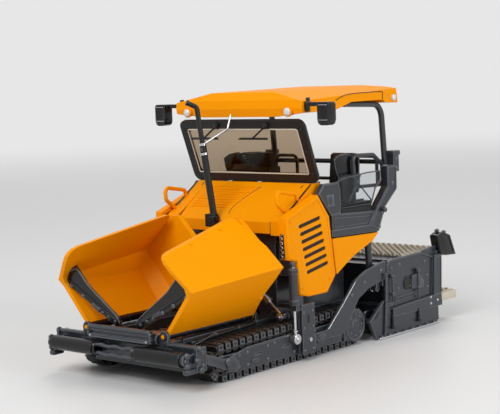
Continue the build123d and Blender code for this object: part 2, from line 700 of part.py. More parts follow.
# Guide rails of the tow points, with the levelling cylinders' barrels
with BuildPart() as guide_rail:
    for wall_x in (rail_inner_x, rail_outer_x - rail_wall):
        block(wall_x, wall_x + rail_wall, rail_front_y, rail_rear_y, rail_low_z, rail_high_z)
    block(rail_inner_x, rail_outer_x, rail_front_y + 0.6, rail_front_y + 1.2, rail_low_z, rail_high_z)
    block(chassis_half, rail_outer_x, body_front_y, rail_rear_y, rail_high_z - 1.4, rail_high_z)
    rod((rail_inner_x - 1, *tow_pin), (rail_outer_x + 1, *tow_pin), tow_pin_radius,
        mode=Mode.SUBTRACT)
    rod((level_x, level_y, 16.9), (level_x, level_y, 27.0), 1.2)
    block(rail_inner_x, rail_outer_x - 0.3, level_y, rail_front_y + 1.0, rail_high_z - 1.4,
          rail_high_z + 2.6)
keep_pair(guide_rail, "guide_rail")

# Bright pins and rods that stay with the tractor
with BuildPart() as bright_left:
    rod((wing_hinge[0], wing_front_y - 1.4, wing_hinge[1]),
        (wing_hinge[0], wing_rear_y + 1.4, wing_hinge[1]), hinge_pin_radius)
    rod((ram_pin[0], ram_y - 1.5, ram_pin[1]),
        (ram_pin[0], ram_bracket_y + ram_bracket_thick, ram_pin[1]), ram_pin_radius)
    rod((ram_pin[0], ram_y - 1.6, ram_pin[1]), (ram_pin[0], ram_y - 1.0, ram_pin[1]), 1.15)
    rod((rail_inner_x, *tow_pin), (rail_outer_x + 0.4, *tow_pin), tow_pin_radius)
    rod((level_x, level_y, 7.0), (level_x, level_y, rail_high_z - 1.4), 0.4)
    rod((level_x - 0.8, level_y, 7.0), (level_x + 0.8, level_y, 7.0), 1.3)
    rod((level_x, level_y, 27.0), (level_x, level_y, 28.6), 0.5)
with BuildPart() as bright_pins:
    both_sides(bright_left.part)
keep(bright_pins, "bright_pins")

# Hopper wings: a folded sheet with an end wall, on a hinge tube
def wing_section(fold, top, fill):
    """The folded sheet's cut at one end: hinge, fold, top and back inside.
    The inner corner is filled by a chamfer that is fill long on both panels."""
    low_run = Vector(fold[0] - wing_hinge[0], fold[1] - wing_hinge[1]).normalized()
    high_run = Vector(top[0] - fold[0], top[1] - fold[1]).normalized()
    low_in = Vector(-low_run.Y, low_run.X) * sheet
    high_in = Vector(-high_run.Y, high_run.X) * sheet
    start = Vector(*wing_hinge) - low_in * 0.5
    corner = Vector(*fold)
    crest = corner + high_run * (hypot(top[0] - fold[0], top[1] - fold[1]) + 6)
    inner_corner = corner + (low_in + high_in) * (1 / (1 + low_run.dot(high_run)))
    return [start, corner, crest, crest + high_in, inner_corner + high_run * fill,
            inner_corner - low_run * fill, start + low_in]


def stretch(front, rear, y):
    """Values on the line through those given at the wing's two sections."""
    share = (y - wing_section_front_y) / (wing_section_rear_y - wing_section_front_y)
    return tuple(low + share * (high - low) for low, high in zip(front, rear))


# Side view of a wing: (distance from its front or rear edge, z)
wing_front_edge = [(0.0, 12.0), (-0.2, 14.6), (-0.6, 24.4), (-1.5, 27.3), (-3.1, 31.4), (-3.6, 33.6),
                   (-3.3, 35.0), (-2.4, 35.8), (-0.8, 36.4)]
wing_rear_edge = [(-4.4, 42.1), (-3.4, 41.6), (-1.8, 38.3), (0.0, 34.0), (0.0, 28.6), (-0.2, 25.0),
                  (-1.0, 21.0), (-0.6, 17.0), (0.0, 15.0), (0.0, 12.0)]
loft_front_y = wing_front_y - 5.0
loft_rear_y = wing_rear_y + 1.0
with BuildPart() as wing:
    sections = []
    for section_y in (loft_front_y, loft_rear_y):
        fill = stretch((fold_fill_front,), (fold_fill_rear,), section_y)[0]
        corners = wing_section(stretch(wing_fold_front, wing_fold_rear, section_y),
                               stretch(wing_top_front, wing_top_rear, section_y), fill)
        with BuildSketch(Plane.XZ.offset(-section_y)) as section:
            with BuildLine():
                Polyline(*[(corner.X, corner.Y) for corner in corners], close=True)
            make_face()
        sections.append(section.sketch.face())
    loft(sections, ruled=True)
    side_shape([(wing_front_y + y, z) for y, z in wing_front_edge]
               + [(wing_rear_y + y, z) for y, z in wing_rear_edge], 0, 40, mode=Mode.INTERSECT)
    cross_shape([(wing_hinge[0] - 0.4, wing_hinge[1] + 0.6), (2.0, 31.0), (2.0, 33.2),
                 (10.4, 41.6), (13.4, 41.4), (26.9, 28.6), (16.4, wing_hinge[1] + 1.4)],
                end_wall_y - end_wall_thick, end_wall_y)
    floor_run = Vector(wing_fold_rear[0] - wing_hinge[0], 0, wing_fold_rear[1] - wing_hinge[1])
    floor_length = floor_run.length
    floor_run = floor_run.normalized()
    floor_up = Vector(-floor_run.Z, 0, floor_run.X)
    fill_start = Vector(wing_hinge[0], end_wall_y - end_wall_thick, wing_hinge[1]) + floor_run * 3.0
    fill_plane = Plane(origin=fill_start + floor_up * (sheet / 2), x_dir=(0, -1, 0), z_dir=floor_run)
    with BuildSketch(fill_plane) as end_chamfer:
        with BuildLine():
            Polyline((-0.3, 0.3), (end_fill, 0.3), (end_fill, 0), (0, -end_fill), (-0.3, -end_fill),
                     close=True)
        make_face()
    extrude(end_chamfer.sketch, amount=floor_length - 3.0 - sheet)
    rod((wing_hinge[0], wing_front_y, wing_hinge[1]), (wing_hinge[0], wing_rear_y, wing_hinge[1]),
        hinge_tube_radius)
    rod((wing_hinge[0], wing_front_y - 1, wing_hinge[1]),
        (wing_hinge[0], wing_rear_y + 1, wing_hinge[1]), hinge_pin_radius + pin_gap,
        mode=Mode.SUBTRACT)
    rod((ram_lug[0], end_wall_y, ram_lug[1]), (ram_lug[0], ram_y - ram_barrel_radius - 0.2, ram_lug[1]),
        0.9)
    rod((ram_lug[0], end_wall_y, ram_lug[1]), (ram_lug[0], ram_y + ram_eye_width / 2 + 0.2, ram_lug[1]),
        ram_pin_radius)
keep_pair(wing, "wing")

# Rubber flaps inside the wings' front edges
with BuildPart() as wing_flap:
    cross_shape([(26.0, 26.3), (20.2, 30.6), (17.7, 27.9), (15.7, 25.5), (3.6, 17.0), (3.1, 15.2),
                 (4.6, 14.4)], flap_y, flap_y + flap_thick)
    cross_shape([(26.0, 26.3), (24.9, 27.3), (3.9, 15.7), (4.6, 14.4)], flap_y, flap_y + flap_rim)
    add(wing.part, mode=Mode.SUBTRACT)
keep_pair(wing_flap, "wing_flap")


# Rams: a barrel on one pin and a rod that slides in it, with an eye each
def ram_barrel(start, towards, pin_axis, radius, length, eye_radius, eye_width, pin_radius,
               rod_radius):
    """A barrel from its own eye towards the other pin, bored for its rod."""
    run = (Vector(*towards) - Vector(*start)).normalized()
    half = Vector(*pin_axis) * (eye_width / 2)
    origin = Vector(*start)
    rod(tuple(origin + run * 0.6), tuple(origin + run * length), radius)
    rod(tuple(origin - half), tuple(origin + half), eye_radius)
    rod(tuple(origin + run * 1.7), tuple(origin + run * (length + 1)), rod_radius + pin_gap,
        mode=Mode.SUBTRACT)
    rod(tuple(origin - half * 2), tuple(origin + half * 2), pin_radius + pin_gap,
        mode=Mode.SUBTRACT)


def ram_rod(start, towards, pin_axis, radius, length, eye_radius, eye_width, pin_radius):
    """A rod from its eye back into the barrel."""
    run = (Vector(*towards) - Vector(*start)).normalized()
    half = Vector(*pin_axis) * (eye_width / 2)
    origin = Vector(*start)
    rod(tuple(origin + run * 0.4), tuple(origin + run * length), radius)
    rod(tuple(origin - half), tuple(origin + half), eye_radius)
    rod(tuple(origin - half * 2), tuple(origin + half * 2), pin_radius + open_pin_gap,
        mode=Mode.SUBTRACT)


wing_ram_lug = (ram_lug[0], ram_y, ram_lug[1])
wing_ram_pin = (ram_pin[0], ram_y, ram_pin[1])
with BuildPart() as wing_barrel:
    ram_barrel(wing_ram_lug, wing_ram_pin, (0, 1, 0), ram_barrel_radius, ram_barrel_length,
               ram_eye_radius, ram_eye_width, ram_pin_radius, ram_rod_radius)
keep_pair(wing_barrel, "wing_barrel")
with BuildPart() as wing_rod:
    ram_rod(wing_ram_pin, wing_ram_lug, (0, 1, 0), ram_rod_radius, ram_rod_length,
            ram_eye_radius, ram_eye_width, ram_pin_radius)
keep_pair(wing_rod, "wing_rod")

# Apron across the hopper's front, on lugs of its own: (y, z) from its hinge, with a groove
apron_profile = [(-0.2, 1.8), (-1.8, 1.8), (-2.2, 1.4), (-2.2, 0.9), (-1.6, 0.7), (-1.6, 0.0),
                 (-2.2, -0.2), (-2.2, -0.7), (-1.9, -1.0), (-0.2, -1.0)]
with BuildPart() as apron:
    side_shape([(apron_hinge[0] + y, apron_hinge[1] + z) for y, z in apron_profile],
               -apron_half, apron_half)
    rod((-apron_half, *apron_hinge), (apron_half, *apron_hinge), 0.9)
    rod((-apron_half - 1, *apron_hinge), (apron_half + 1, *apron_hinge),
        apron_pin_radius + pin_gap, mode=Mode.SUBTRACT)
keep(apron, "apron")

# Push beam that swivels about an upright pin, with the rollers' brackets
swivel_y = (beam_front_y + beam_rear_y) / 2
with BuildPart() as push_beam:
    block(-beam_half, beam_half, beam_front_y, beam_rear_y, beam_low_z, beam_high_z)
    for side in (-1, 1):
        block(side * beam_half, side * (beam_half - beam_end_length), beam_front_y, beam_rear_y,
              beam_high_z, beam_end_z)
        block(side * beam_half, side * (beam_half - 0.8), beam_front_y - 0.8, beam_rear_y + 0.6,
              beam_low_z - 0.8, beam_end_z)
    for arm_x in (roller_inner_x - 0.4 - 1.0, roller_outer_x + 0.4):
        for side in (-1, 1):
            block(side * arm_x, side * (arm_x + 1.0), roller_y - 0.6, beam_front_y,
                  roller_z - 1.2, roller_z + 1.2)
            rod((side * arm_x, roller_y, roller_z), (side * (arm_x + 1.0), roller_y, roller_z), 1.5)
            rod((side * (arm_x - 1), roller_y, roller_z), (side * (arm_x + 2), roller_y, roller_z),
                roller_shaft_radius, mode=Mode.SUBTRACT)
    for bar_z in (roller_z - 1.0, roller_z + 1.0):
        rod((-roller_inner_x + 0.4, roller_y - 0.4, bar_z), (roller_inner_x - 0.4, roller_y - 0.4, bar_z),
            0.4)
    rod((0, swivel_y, beam_low_z - 1), (0, swivel_y, beam_high_z + 1), 0.8, mode=Mode.SUBTRACT)
    for side in (-1, 1):
        rod((side * (roller_inner_x - 1.4), roller_y, roller_z),
            (side * (roller_outer_x + 1.6), roller_y, roller_z), roller_shaft_radius)
keep(push_beam, "push_beam")

with BuildPart() as push_roller:
    rod((roller_inner_x, roller_y, roller_z), (roller_outer_x, roller_y, roller_z), roller_radius)
    rod((roller_inner_x - 1, roller_y, roller_z), (roller_outer_x + 1, roller_y, roller_z),
        roller_shaft_radius + pin_gap, mode=Mode.SUBTRACT)
keep_pair(push_roller, "push_roller")

# Front bracket that holds the apron's pins and the push beam's swivel pin
with BuildPart() as front_bracket:
    for side in (-1, 1):
        lug_x = side * (apron_half + gap)
        rod((lug_x, *apron_hinge), (lug_x + side * apron_lug_thick, *apron_hinge), apron_lug_radius)
        side_shape([(apron_hinge[0], apron_hinge[1] - apron_lug_radius),
                    (apron_hinge[0], apron_hinge[1] + apron_lug_radius),
                    (chassis_front_y, deck_z - 0.4), (chassis_front_y, beam_high_z + gap),
                    (beam_front_y + 1.1, beam_high_z + gap)],
                   lug_x, lug_x + side * apron_lug_thick)
        rod((side * (apron_half - 2.0), *apron_hinge),
            (side * (apron_half + gap + apron_lug_thick), *apron_hinge), apron_pin_radius)
    block(-apron_half - 1.0, apron_half + 1.0, beam_rear_y - 0.5, chassis_front_y,
          beam_high_z + gap, beam_high_z + gap + 1.0)
    rod((0, swivel_y, beam_low_z - 0.6), (0, swivel_y, beam_high_z + gap + 1.0), 0.8 - pin_gap)
    block(-1.6, 1.6, swivel_y - 0.8, chassis_front_y, beam_high_z + gap, beam_high_z + gap + 1.0)
keep(front_bracket, "front_bracket")

# Tow arms: from the tow pin, round the drive cover and up to the screed
arm_outline = [(-14.0, 7.0), (-3.6, 7.3), (5.0, 14.4), (10.4, 19.6), (17.5, 22.2), (26.0, 23.6),
               (26.0, 18.2), (17.3, 16.6), (12.0, 14.2), (4.4, 5.4), (2.4, 4.7), (-14.0, 5.0)]
with BuildPart() as tow_arm:
    side_shape(arm_outline, arm_inner_x, arm_outer_x)
    rod((arm_inner_x, *tow_pin), (arm_outer_x, *tow_pin), 1.5)
    rod((arm_inner_x - 1, *tow_pin), (arm_outer_x + 1, *tow_pin), tow_pin_radius + pin_gap,
        mode=Mode.SUBTRACT)
    block(lift_x - 0.1, arm_inner_x, 25.4, 26.0, 16.0, 21.0)
    block(lift_x - 0.1, lift_x + 0.9, 25.4, carrier_front_y, 16.0, 19.0)
    boss_x = lift_x + lift_barrel_radius + gap
    rod((lift_x - lift_eye_width / 2, *lift_eye), (arm_inner_x + 0.2, *lift_eye), lift_pin_radius)
    rod((boss_x, *lift_eye), (arm_inner_x + 0.2, *lift_eye), lift_boss_radius)
    block(boss_x, arm_inner_x + 0.2, lift_eye[0] - 0.6, lift_eye[0] + 0.6, lift_eye[1],
          lift_eye[1] + 2.4)
keep_pair(tow_arm, "tow_arm")

# Main screed with its carrier and the deck's frame
with BuildPart() as screed_main:
    block(-screed_half, screed_half, screed_front_y, screed_rear_y, screed_low_z, screed_top_z)
    block(-22.9, 22.9, carrier_front_y + 0.05, carrier_rear_y, screed_top_z, carrier_top_z)
    block(-22.9, 22.9, carrier_front_y + 6, deck_rear_y - 1.0, carrier_top_z - 0.1, carrier_top_z + 0.6)
    for side, guide_z in ((1, guide_left_z), (-1, guide_right_z)):
        for bracket_x in (4.0, 20.6):
            block(side * bracket_x, side * (bracket_x + 1.6), carrier_rear_y - 0.1, guide_y + 1.4,
                  guide_z - 1.4, guide_z + 1.4)
            rod((side * (bracket_x - 1), guide_y, guide_z), (side * (bracket_x + 3), guide_y, guide_z),
                guide_radius + pin_gap, mode=Mode.SUBTRACT)
keep(screed_main, "screed_main")

# Ribbed deck boards over the screed
rib_pitch = 1.5
with BuildPart() as screed_deck:
    block(-23.4, 23.4, carrier_rear_y + 2, deck_rear_y, carrier_top_z + 0.6, deck_board_z - 0.4)
    for rib in range(int(46.0 / rib_pitch)):
        rib_x = -23.0 + rib * rib_pitch
        block(rib_x, rib_x + 0.7, carrier_rear_y + 2, deck_rear_y, deck_board_z - 0.4, deck_board_z)
keep(screed_deck, "screed_deck")


# Extending screeds, one on each side, with their guide tubes
def build_extension(side, guide_z):
    """The extension's shoe, its housing and the tube that guides it."""
    block(side * ext_inner_x, side * 25.4, ext_front_y, ext_rear_y, screed_low_z, screed_top_z)
    block(side * 12.0, side * 25.4, ext_front_y + 2.0, ext_rear_y - 1.0, screed_top_z, 20.4)
    block(side * 23.6, side * 25.4, guide_y - 1.6, ext_front_y + 2.1, guide_z - 1.6, guide_z + 1.6)
    rod((side * -20.0, guide_y, guide_z), (side * 25.4, guide_y, guide_z), guide_radius)


with BuildPart() as screed_ext_left:
    build_extension(1, guide_left_z)
keep(screed_ext_left, "screed_ext_left")
with BuildPart() as screed_ext_right:
    build_extension(-1, guide_right_z)
keep(screed_ext_right, "screed_ext_right")

# End gates with the skid, the front blade, the beam and the rear post
with BuildPart() as end_gate:
    side_shape([(27.0, 6.0), (27.0, 21.8), (28.4, 23.2), (38.8, 23.4), (46.3, 23.6), (52.3, 21.4),
                (54.4, 21.6), (56.4, 21.6), (56.0, 9.4), (55.6, 5.4), (28.0, 5.4)],
               gate_inner_x - 0.45, gate_inner_x + 0.6)
    side_shape([(20.0, 0.5), (17.0, 6.0), (24.5, 11.4), (27.2, 11.4), (27.2, 6.0), (54.4, 5.4),
                (54.4, 1.2), (52.0, 0.0), (22.0, 0.0)], gate_inner_x + 0.1, gate_outer_x)
    side_shape([(28.6, 6.1), (28.6, 8.3), (55.6, 9.4), (56.0, 5.6)], gate_inner_x, gate_outer_x + 0.5)
    side_shape([(51.6, 9.0), (52.4, 21.4), (53.4, 21.8), (56.6, 21.8), (56.0, 9.0)], gate_inner_x,
               gate_outer_x + 0.3)
keep_pair(end_gate, "end_gate")

# Rear walkways behind the extending screeds
with BuildPart() as rear_walk:
    block(1.0, 27.0, ext_rear_y + 0.05, walk_rear_y, walk_z - 2.6, walk_z - 0.4)
    for rib in range(int(26.0 / rib_pitch)):
        rib_x = 1.2 + rib * rib_pitch
        block(rib_x, rib_x + 0.7, ext_rear_y + 1.2, walk_rear_y, walk_z - 0.4, walk_z)
keep_pair(rear_walk, "rear_walk")

# Control boxes on the end gates
with BuildPart() as control_box:
    block(24.6, 27.6, 56.9, 62.6, 21.6, 27.8)
    block(25.4, 26.6, 54.6, 57.0, 21.8, 23.0)
keep_pair(control_box, "control_box")

# Screed lift cylinders
lift_top = (lift_x, *lift_pin)
lift_low = (lift_x, *lift_eye)
with BuildPart() as lift_barrel_left:
    ram_barrel(lift_top, lift_low, (1, 0, 0), lift_barrel_radius, lift_barrel_length,
               lift_eye_radius, lift_eye_width, lift_pin_radius, lift_rod_radius)
with BuildPart() as lift_barrels:
    both_sides(lift_barrel_left.part)
keep(lift_barrels, "lift_barrels")
with BuildPart() as lift_rod_left:
    ram_rod(lift_low, lift_top, (1, 0, 0), lift_rod_radius, lift_rod_length,
            lift_eye_radius, lift_eye_width, lift_pin_radius)
with BuildPart() as lift_rods:
    both_sides(lift_rod_left.part)
keep(lift_rods, "lift_rods")
with BuildPart() as lift_pin_left:
    rod((lift_x + lift_eye_width / 2, *lift_pin), (lift_x - 0.9 - gap, *lift_pin), lift_pin_radius)
with BuildPart() as lift_pins:
    both_sides(lift_pin_left.part)
keep(lift_pins, "lift_pins")

# Spreading augers with slanted flights, and the chain case between them
with BuildPart() as auger:
    rod((auger_inner_x, auger_y, auger_z), (auger_outer_x, auger_y, auger_z), auger_shaft_radius)
    flight_step = (auger_outer_x - auger_inner_x - 4.0) / (flight_count - 1)
    for flight in range(flight_count):
        flight_x = auger_inner_x + 2.0 + flight * flight_step
        tilt_plane = Plane(origin=(flight_x, auger_y, auger_z),
                           z_dir=(cos(radians(flight_tilt)), sin(radians(flight_tilt)), 0))
        with BuildSketch(tilt_plane.offset(-flight_thick / 2)) as flight_disc:
            Circle(auger_radius)
        extrude(flight_disc.sketch, amount=flight_thick)
keep_pair(auger, "auger")

with BuildPart() as auger_case:
    block(-1.8, 1.8, chassis_rear_y + 0.05, auger_y + 1.6, auger_z - 1.6, deck_z)
    for side in (-1, 1):
        rod((side * 1.8, auger_y, auger_z), (side * (auger_inner_x - gap), auger_y, auger_z), 1.2)
keep(auger_case, "auger_case")

# What the record needs: joint ratios of the two kinds of ram
wing_travel = 42.0
screed_travel = 8.0


def turned(point, centre, angle):
    """A point turned in its plane about a centre, counter-clockwise."""
    a = radians(angle)
    u, v = point[0] - centre[0], point[1] - centre[1]
    return (centre[0] + u * cos(a) - v * sin(a), centre[1] + u * sin(a) + v * cos(a))


def linkage(fixed, moving, centre, angle):
    """Length and direction change between a fixed pin and one that turns about a centre."""
    after = turned(moving, centre, angle)
    length = hypot(fixed[0] - moving[0], fixed[1] - moving[1])
    new_length = hypot(fixed[0] - after[0], fixed[1] - after[1])
    heading = degrees(atan2(fixed[1] - moving[1], fixed[0] - moving[0]))
    new_heading = degrees(atan2(fixed[1] - after[1], fixed[0] - after[0]))
    return length, new_length, new_heading - heading


print("wing ram", linkage(ram_pin, ram_lug, wing_hinge, -wing_travel))
print("screed lift", linkage(lift_pin, lift_eye, tow_pin, screed_travel))
print("shoe pitch", round(shoe_pitch, 3), "top run rises", round(degrees(top_angle), 2))
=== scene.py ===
# %% [markdown]
# An asphalt paver as a small die-cast display model, 130 mm long.
# Its construction is a fixed frame that is loaded first. Everything below gives that
# frame its finishes and adds the small pieces that a solid model leaves out: bolts,
# seams, clamps, knobs, rims and the studs of the boards.

# %% Load the fixed frame
from math import atan2, cos, hypot, pi, radians, sin

import bmesh
import bpy
from mathutils import Matrix, Vector


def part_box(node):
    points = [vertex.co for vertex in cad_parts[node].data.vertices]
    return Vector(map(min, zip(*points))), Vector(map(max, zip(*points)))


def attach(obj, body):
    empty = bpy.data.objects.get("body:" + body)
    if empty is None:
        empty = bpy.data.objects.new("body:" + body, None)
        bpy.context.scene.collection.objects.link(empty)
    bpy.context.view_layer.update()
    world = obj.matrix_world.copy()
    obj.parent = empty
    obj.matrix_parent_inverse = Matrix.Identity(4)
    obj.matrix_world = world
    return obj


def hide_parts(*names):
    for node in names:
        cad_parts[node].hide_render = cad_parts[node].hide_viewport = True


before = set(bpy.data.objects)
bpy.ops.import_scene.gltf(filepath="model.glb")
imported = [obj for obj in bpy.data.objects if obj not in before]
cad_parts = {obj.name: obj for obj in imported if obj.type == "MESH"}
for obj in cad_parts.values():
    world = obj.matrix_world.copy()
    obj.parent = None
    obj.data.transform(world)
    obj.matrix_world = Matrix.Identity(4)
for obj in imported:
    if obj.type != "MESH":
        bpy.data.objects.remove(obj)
scene = bpy.context.scene
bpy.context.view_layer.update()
mm = 0.001

# %% [markdown]
# The camera stands where the photograph was taken, in front of the hopper and to the
# machine's left. It is turned about the upright first, then tipped down, then rolled a
# little, because the photographer's camera wasn't quite level.

# %% Camera
camera_place = Vector((274.17, -321.4, 84.09)) * mm
camera_turn = radians(40.92)
camera_tip = radians(5.68)
camera_roll = radians(2.26)
camera_data = bpy.data.cameras.new("photo_camera")
camera_data.sensor_width = 36.0
camera_data.lens = 100.8
camera_data.clip_start = 0.01
camera_data.clip_end = 20.0
camera = bpy.data.objects.new("photo_camera", camera_data)
scene.collection.objects.link(camera)
turn = Matrix.Rotation(camera_turn, 4, "Z")
tip = Matrix.Rotation(pi / 2 - camera_tip, 4, "X")
roll = Matrix.Rotation(-camera_roll, 4, "Z")
camera.matrix_world = Matrix.Translation(camera_place) @ turn @ tip @ roll
scene.camera = camera
print("camera stands", round(camera_place.length, 3), "m from the model")

# %% [markdown]
# A display model is shown under large soft lamps. One big lamp above the front gives
# the shapes their light side, a weaker one lights the machine's left, and a third one
# behind it draws light along the far edges. A square lamp faces the point it is aimed at.

# %% Lamps
def soft_lamp(name, place, size, power, aim=(0.0, 0.0, 0.035)):
    """A square lamp that faces a point."""
    data = bpy.data.lights.new(name, "AREA")
    data.shape = "SQUARE"
    data.size = size
    data.energy = power
    lamp = bpy.data.objects.new(name, data)
    scene.collection.objects.link(lamp)
    facing = (Vector(place) - Vector(aim)).to_track_quat("Z", "Y")
    lamp.matrix_world = Matrix.Translation(place) @ facing.to_matrix().to_4x4()
    print(name, "has", power, "W")


soft_lamp("key_lamp", (0.10, -0.55, 0.62), 0.45, 4.2)
soft_lamp("side_lamp", (0.70, 0.10, 0.35), 0.40, 2.3)
soft_lamp("back_lamp", (-0.25, 0.42, 0.75), 0.40, 1.6)

# %% [markdown]
# The world, the floor and every finish are small networks of shader nodes. Three helpers
# keep them short: one empties a tree, one adds a node with its settings and the values of
# its inputs, and one draws the wires. A wire is (node, output, node, input).

# %% Shader helpers
def empty_tree(owner):
    """The node tree of a world or material, with nothing in it."""
    owner.use_nodes = True
    owner.node_tree.nodes.clear()
    return owner.node_tree


def add_node(tree, kind, values=None, **settings):
    """A shader node with its settings and the values of its inputs."""
    node = tree.nodes.new("ShaderNode" + kind)
    for setting, value in settings.items():
        setattr(node, setting, value)
    for socket, value in (values or {}).items():
        node.inputs[socket].default_value = value
    return node


def wire(tree, *wires):
    """Join outputs to inputs."""
    for giver, output, taker, socket in wires:
        tree.links.new(giver.outputs[output], taker.inputs[socket])


# %% [markdown]
# What the camera sees of the world, straight, in a reflection or through glass, is the
# full pale backdrop. As a lamp, the world is set weaker, so that shadows stay soft but
# clear.

# %% World
pale = (0.80, 0.80, 0.80, 1.0)
world = bpy.data.worlds.new("studio")
scene.world = world
tree = empty_tree(world)
rays = add_node(tree, "LightPath")
seen = add_node(tree, "Math", operation="MAXIMUM")
seen_through = add_node(tree, "Math", operation="MAXIMUM")
strength = add_node(tree, "MapRange", {"To Min": 0.42, "To Max": 1.0})
backdrop = add_node(tree, "Background", {"Color": pale})
out = add_node(tree, "OutputWorld")
wire(tree, (rays, "Is Camera Ray", seen, 0), (rays, "Is Glossy Ray", seen, 1), (seen, 0, seen_through, 0),
     (rays, "Is Transmission Ray", seen_through, 1), (seen_through, 0, strength, "Value"),
     (strength, 0, backdrop, "Strength"), (backdrop, 0, out, "Surface"))
scene.view_settings.view_transform = "Standard"
print("world:", len(tree.nodes), "nodes")

# %% [markdown]
# The floor is one pale sheet. Towards its rim it fades into the colour of the world,
# so that no horizon line runs behind the model.

# %% Floor
floor_half = 1.6
bpy.ops.object.select_all(action="DESELECT")
bpy.ops.mesh.primitive_plane_add(size=2 * floor_half, location=(0, 0, -0.05 * mm))
floor = bpy.context.object
floor.name = "studio_floor"
floor_paint = bpy.data.materials.new("studio_floor")
tree = empty_tree(floor_paint)
place = add_node(tree, "TexCoord")
distance = add_node(tree, "VectorMath", operation="LENGTH")
fade = add_node(tree, "MapRange", {"From Min": 0.25, "From Max": 1.3}, interpolation_type="SMOOTHSTEP")
matt = add_node(tree, "BsdfPrincipled", {"Base Color": (0.72, 0.72, 0.72, 1.0), "Roughness": 0.45})
far = add_node(tree, "Emission", {"Color": pale})
blend = add_node(tree, "MixShader")
out = add_node(tree, "OutputMaterial")
wire(tree, (place, "Object", distance, 0), (distance, "Value", fade, "Value"), (fade, 0, blend, "Fac"),
     (matt, 0, blend, 1), (far, 0, blend, 2), (blend, 0, out, "Surface"))
floor.data.materials.append(floor_paint)
print("floor:", 2 * floor_half, "m wide")

# %% [markdown]
# Finishes share a few effects. Each is a node group with named inputs, so that paint,
# plastic and metal can use the same effect with their own values. The first rounds
# edges in the shading alone, because on die-cast metal the edges are a little soft under
# the paint. It also gives a mask of those edges, along which the finishes paint a thin
# bright line: a painted highlight.

# %% Group: soft edges
def new_group(name, inputs, outputs):
    """An empty shader group with (name, type, value) inputs and (name, type) outputs."""
    group = bpy.data.node_groups.new(name, "ShaderNodeTree")
    for socket_name, kind, value in inputs:
        socket = group.interface.new_socket(socket_name, in_out="INPUT", socket_type=kind)
        socket.default_value = value
    for socket_name, kind in outputs:
        group.interface.new_socket(socket_name, in_out="OUTPUT", socket_type=kind)
    print("group", name, "takes", len(inputs), "values and gives", len(outputs))
    return group, group.nodes.new("NodeGroupInput"), group.nodes.new("NodeGroupOutput")


number = "NodeSocketFloat"
colour = "NodeSocketColor"
vector = "NodeSocketVector"

soft_edges, entry, leave = new_group(
    "soft_edges", [("Radius", number, 0.2 * mm), ("Sharpness", number, 6.0)],
    [("Normal", vector), ("Edge", number)])
rounding = add_node(soft_edges, "Bevel", samples=6)
flat_normal = add_node(soft_edges, "NewGeometry")
alike = add_node(soft_edges, "VectorMath", operation="DOT_PRODUCT")
unlike = add_node(soft_edges, "Math", {0: 1.0}, operation="SUBTRACT")
edge_mask = add_node(soft_edges, "Math", operation="MULTIPLY", use_clamp=True)
wire(soft_edges, (entry, "Radius", rounding, "Radius"), (rounding, "Normal", alike, 0),
     (flat_normal, "True Normal", alike, 1), (alike, "Value", unlike, 1), (unlike, 0, edge_mask, 0),
     (entry, "Sharpness", edge_mask, 1), (rounding, "Normal", leave, "Normal"),
     (edge_mask, 0, leave, "Edge"))

# %% [markdown]
# The second group is the fine skin of a sprayed or moulded surface: a small bump that
# reads as orange peel on paint and as grain on plastic, and a slow drift of tone, which
# no real surface is without. It also mixes a lighter edge colour in along the edge mask,
# which is a painted highlight on the edges.

# %% Group: skin
skin, entry, leave = new_group(
    "skin",
    [("Color", colour, (0.5, 0.5, 0.5, 1)), ("Edge Color", colour, (0.9, 0.9, 0.9, 1)),
     ("Edge", number, 0.0), ("Tone", number, 0.08), ("Roughness", number, 0.4),
     ("Spread", number, 0.08), ("Grain Size", number, 0.4 * mm)],
    [("Color", colour), ("Roughness", number), ("Height", number)])
place = add_node(skin, "TexCoord")
inverse = add_node(skin, "Math", {0: 1.0}, operation="DIVIDE")
grain = add_node(skin, "TexNoise", {"Detail": 2.0})
drift = add_node(skin, "TexNoise", {"Scale": 70.0, "Detail": 4.0})
centred = add_node(skin, "Math", {1: 0.5}, operation="SUBTRACT")
tone_step = add_node(skin, "Math", {2: 1.0}, operation="MULTIPLY_ADD")
shade = add_node(skin, "VectorMath", operation="SCALE")
# This mix lays the lighter Edge Color along the edge mask: a painted highlight on the edges.
edge_highlight_mix = add_node(skin, "Mix", data_type="RGBA")
rough_step = add_node(skin, "Math", operation="MULTIPLY_ADD")
wire(skin, (entry, "Grain Size", inverse, 1), (place, "Object", grain, "Vector"),
     (inverse, 0, grain, "Scale"), (place, "Object", drift, "Vector"), (drift, "Fac", centred, 0),
     (centred, 0, tone_step, 0), (entry, "Tone", tone_step, 1), (entry, "Color", shade, 0),
     (tone_step, 0, shade, "Scale"), (entry, "Edge", edge_highlight_mix, "Factor"), (shade, 0, edge_highlight_mix, "A"),
     (entry, "Edge Color", edge_highlight_mix, "B"), (centred, 0, rough_step, 0), (entry, "Spread", rough_step, 1),
     (entry, "Roughness", rough_step, 2), (edge_highlight_mix, "Result", leave, "Color"),
     (rough_step, 0, leave, "Roughness"), (grain, "Fac", leave, "Height"))

# %% [markdown]
# Fine dust lies on whatever faces up, even on a model that is kept in a cabinet. The
# third group gives a mask of it: the upward share of the surface, broken up by noise.

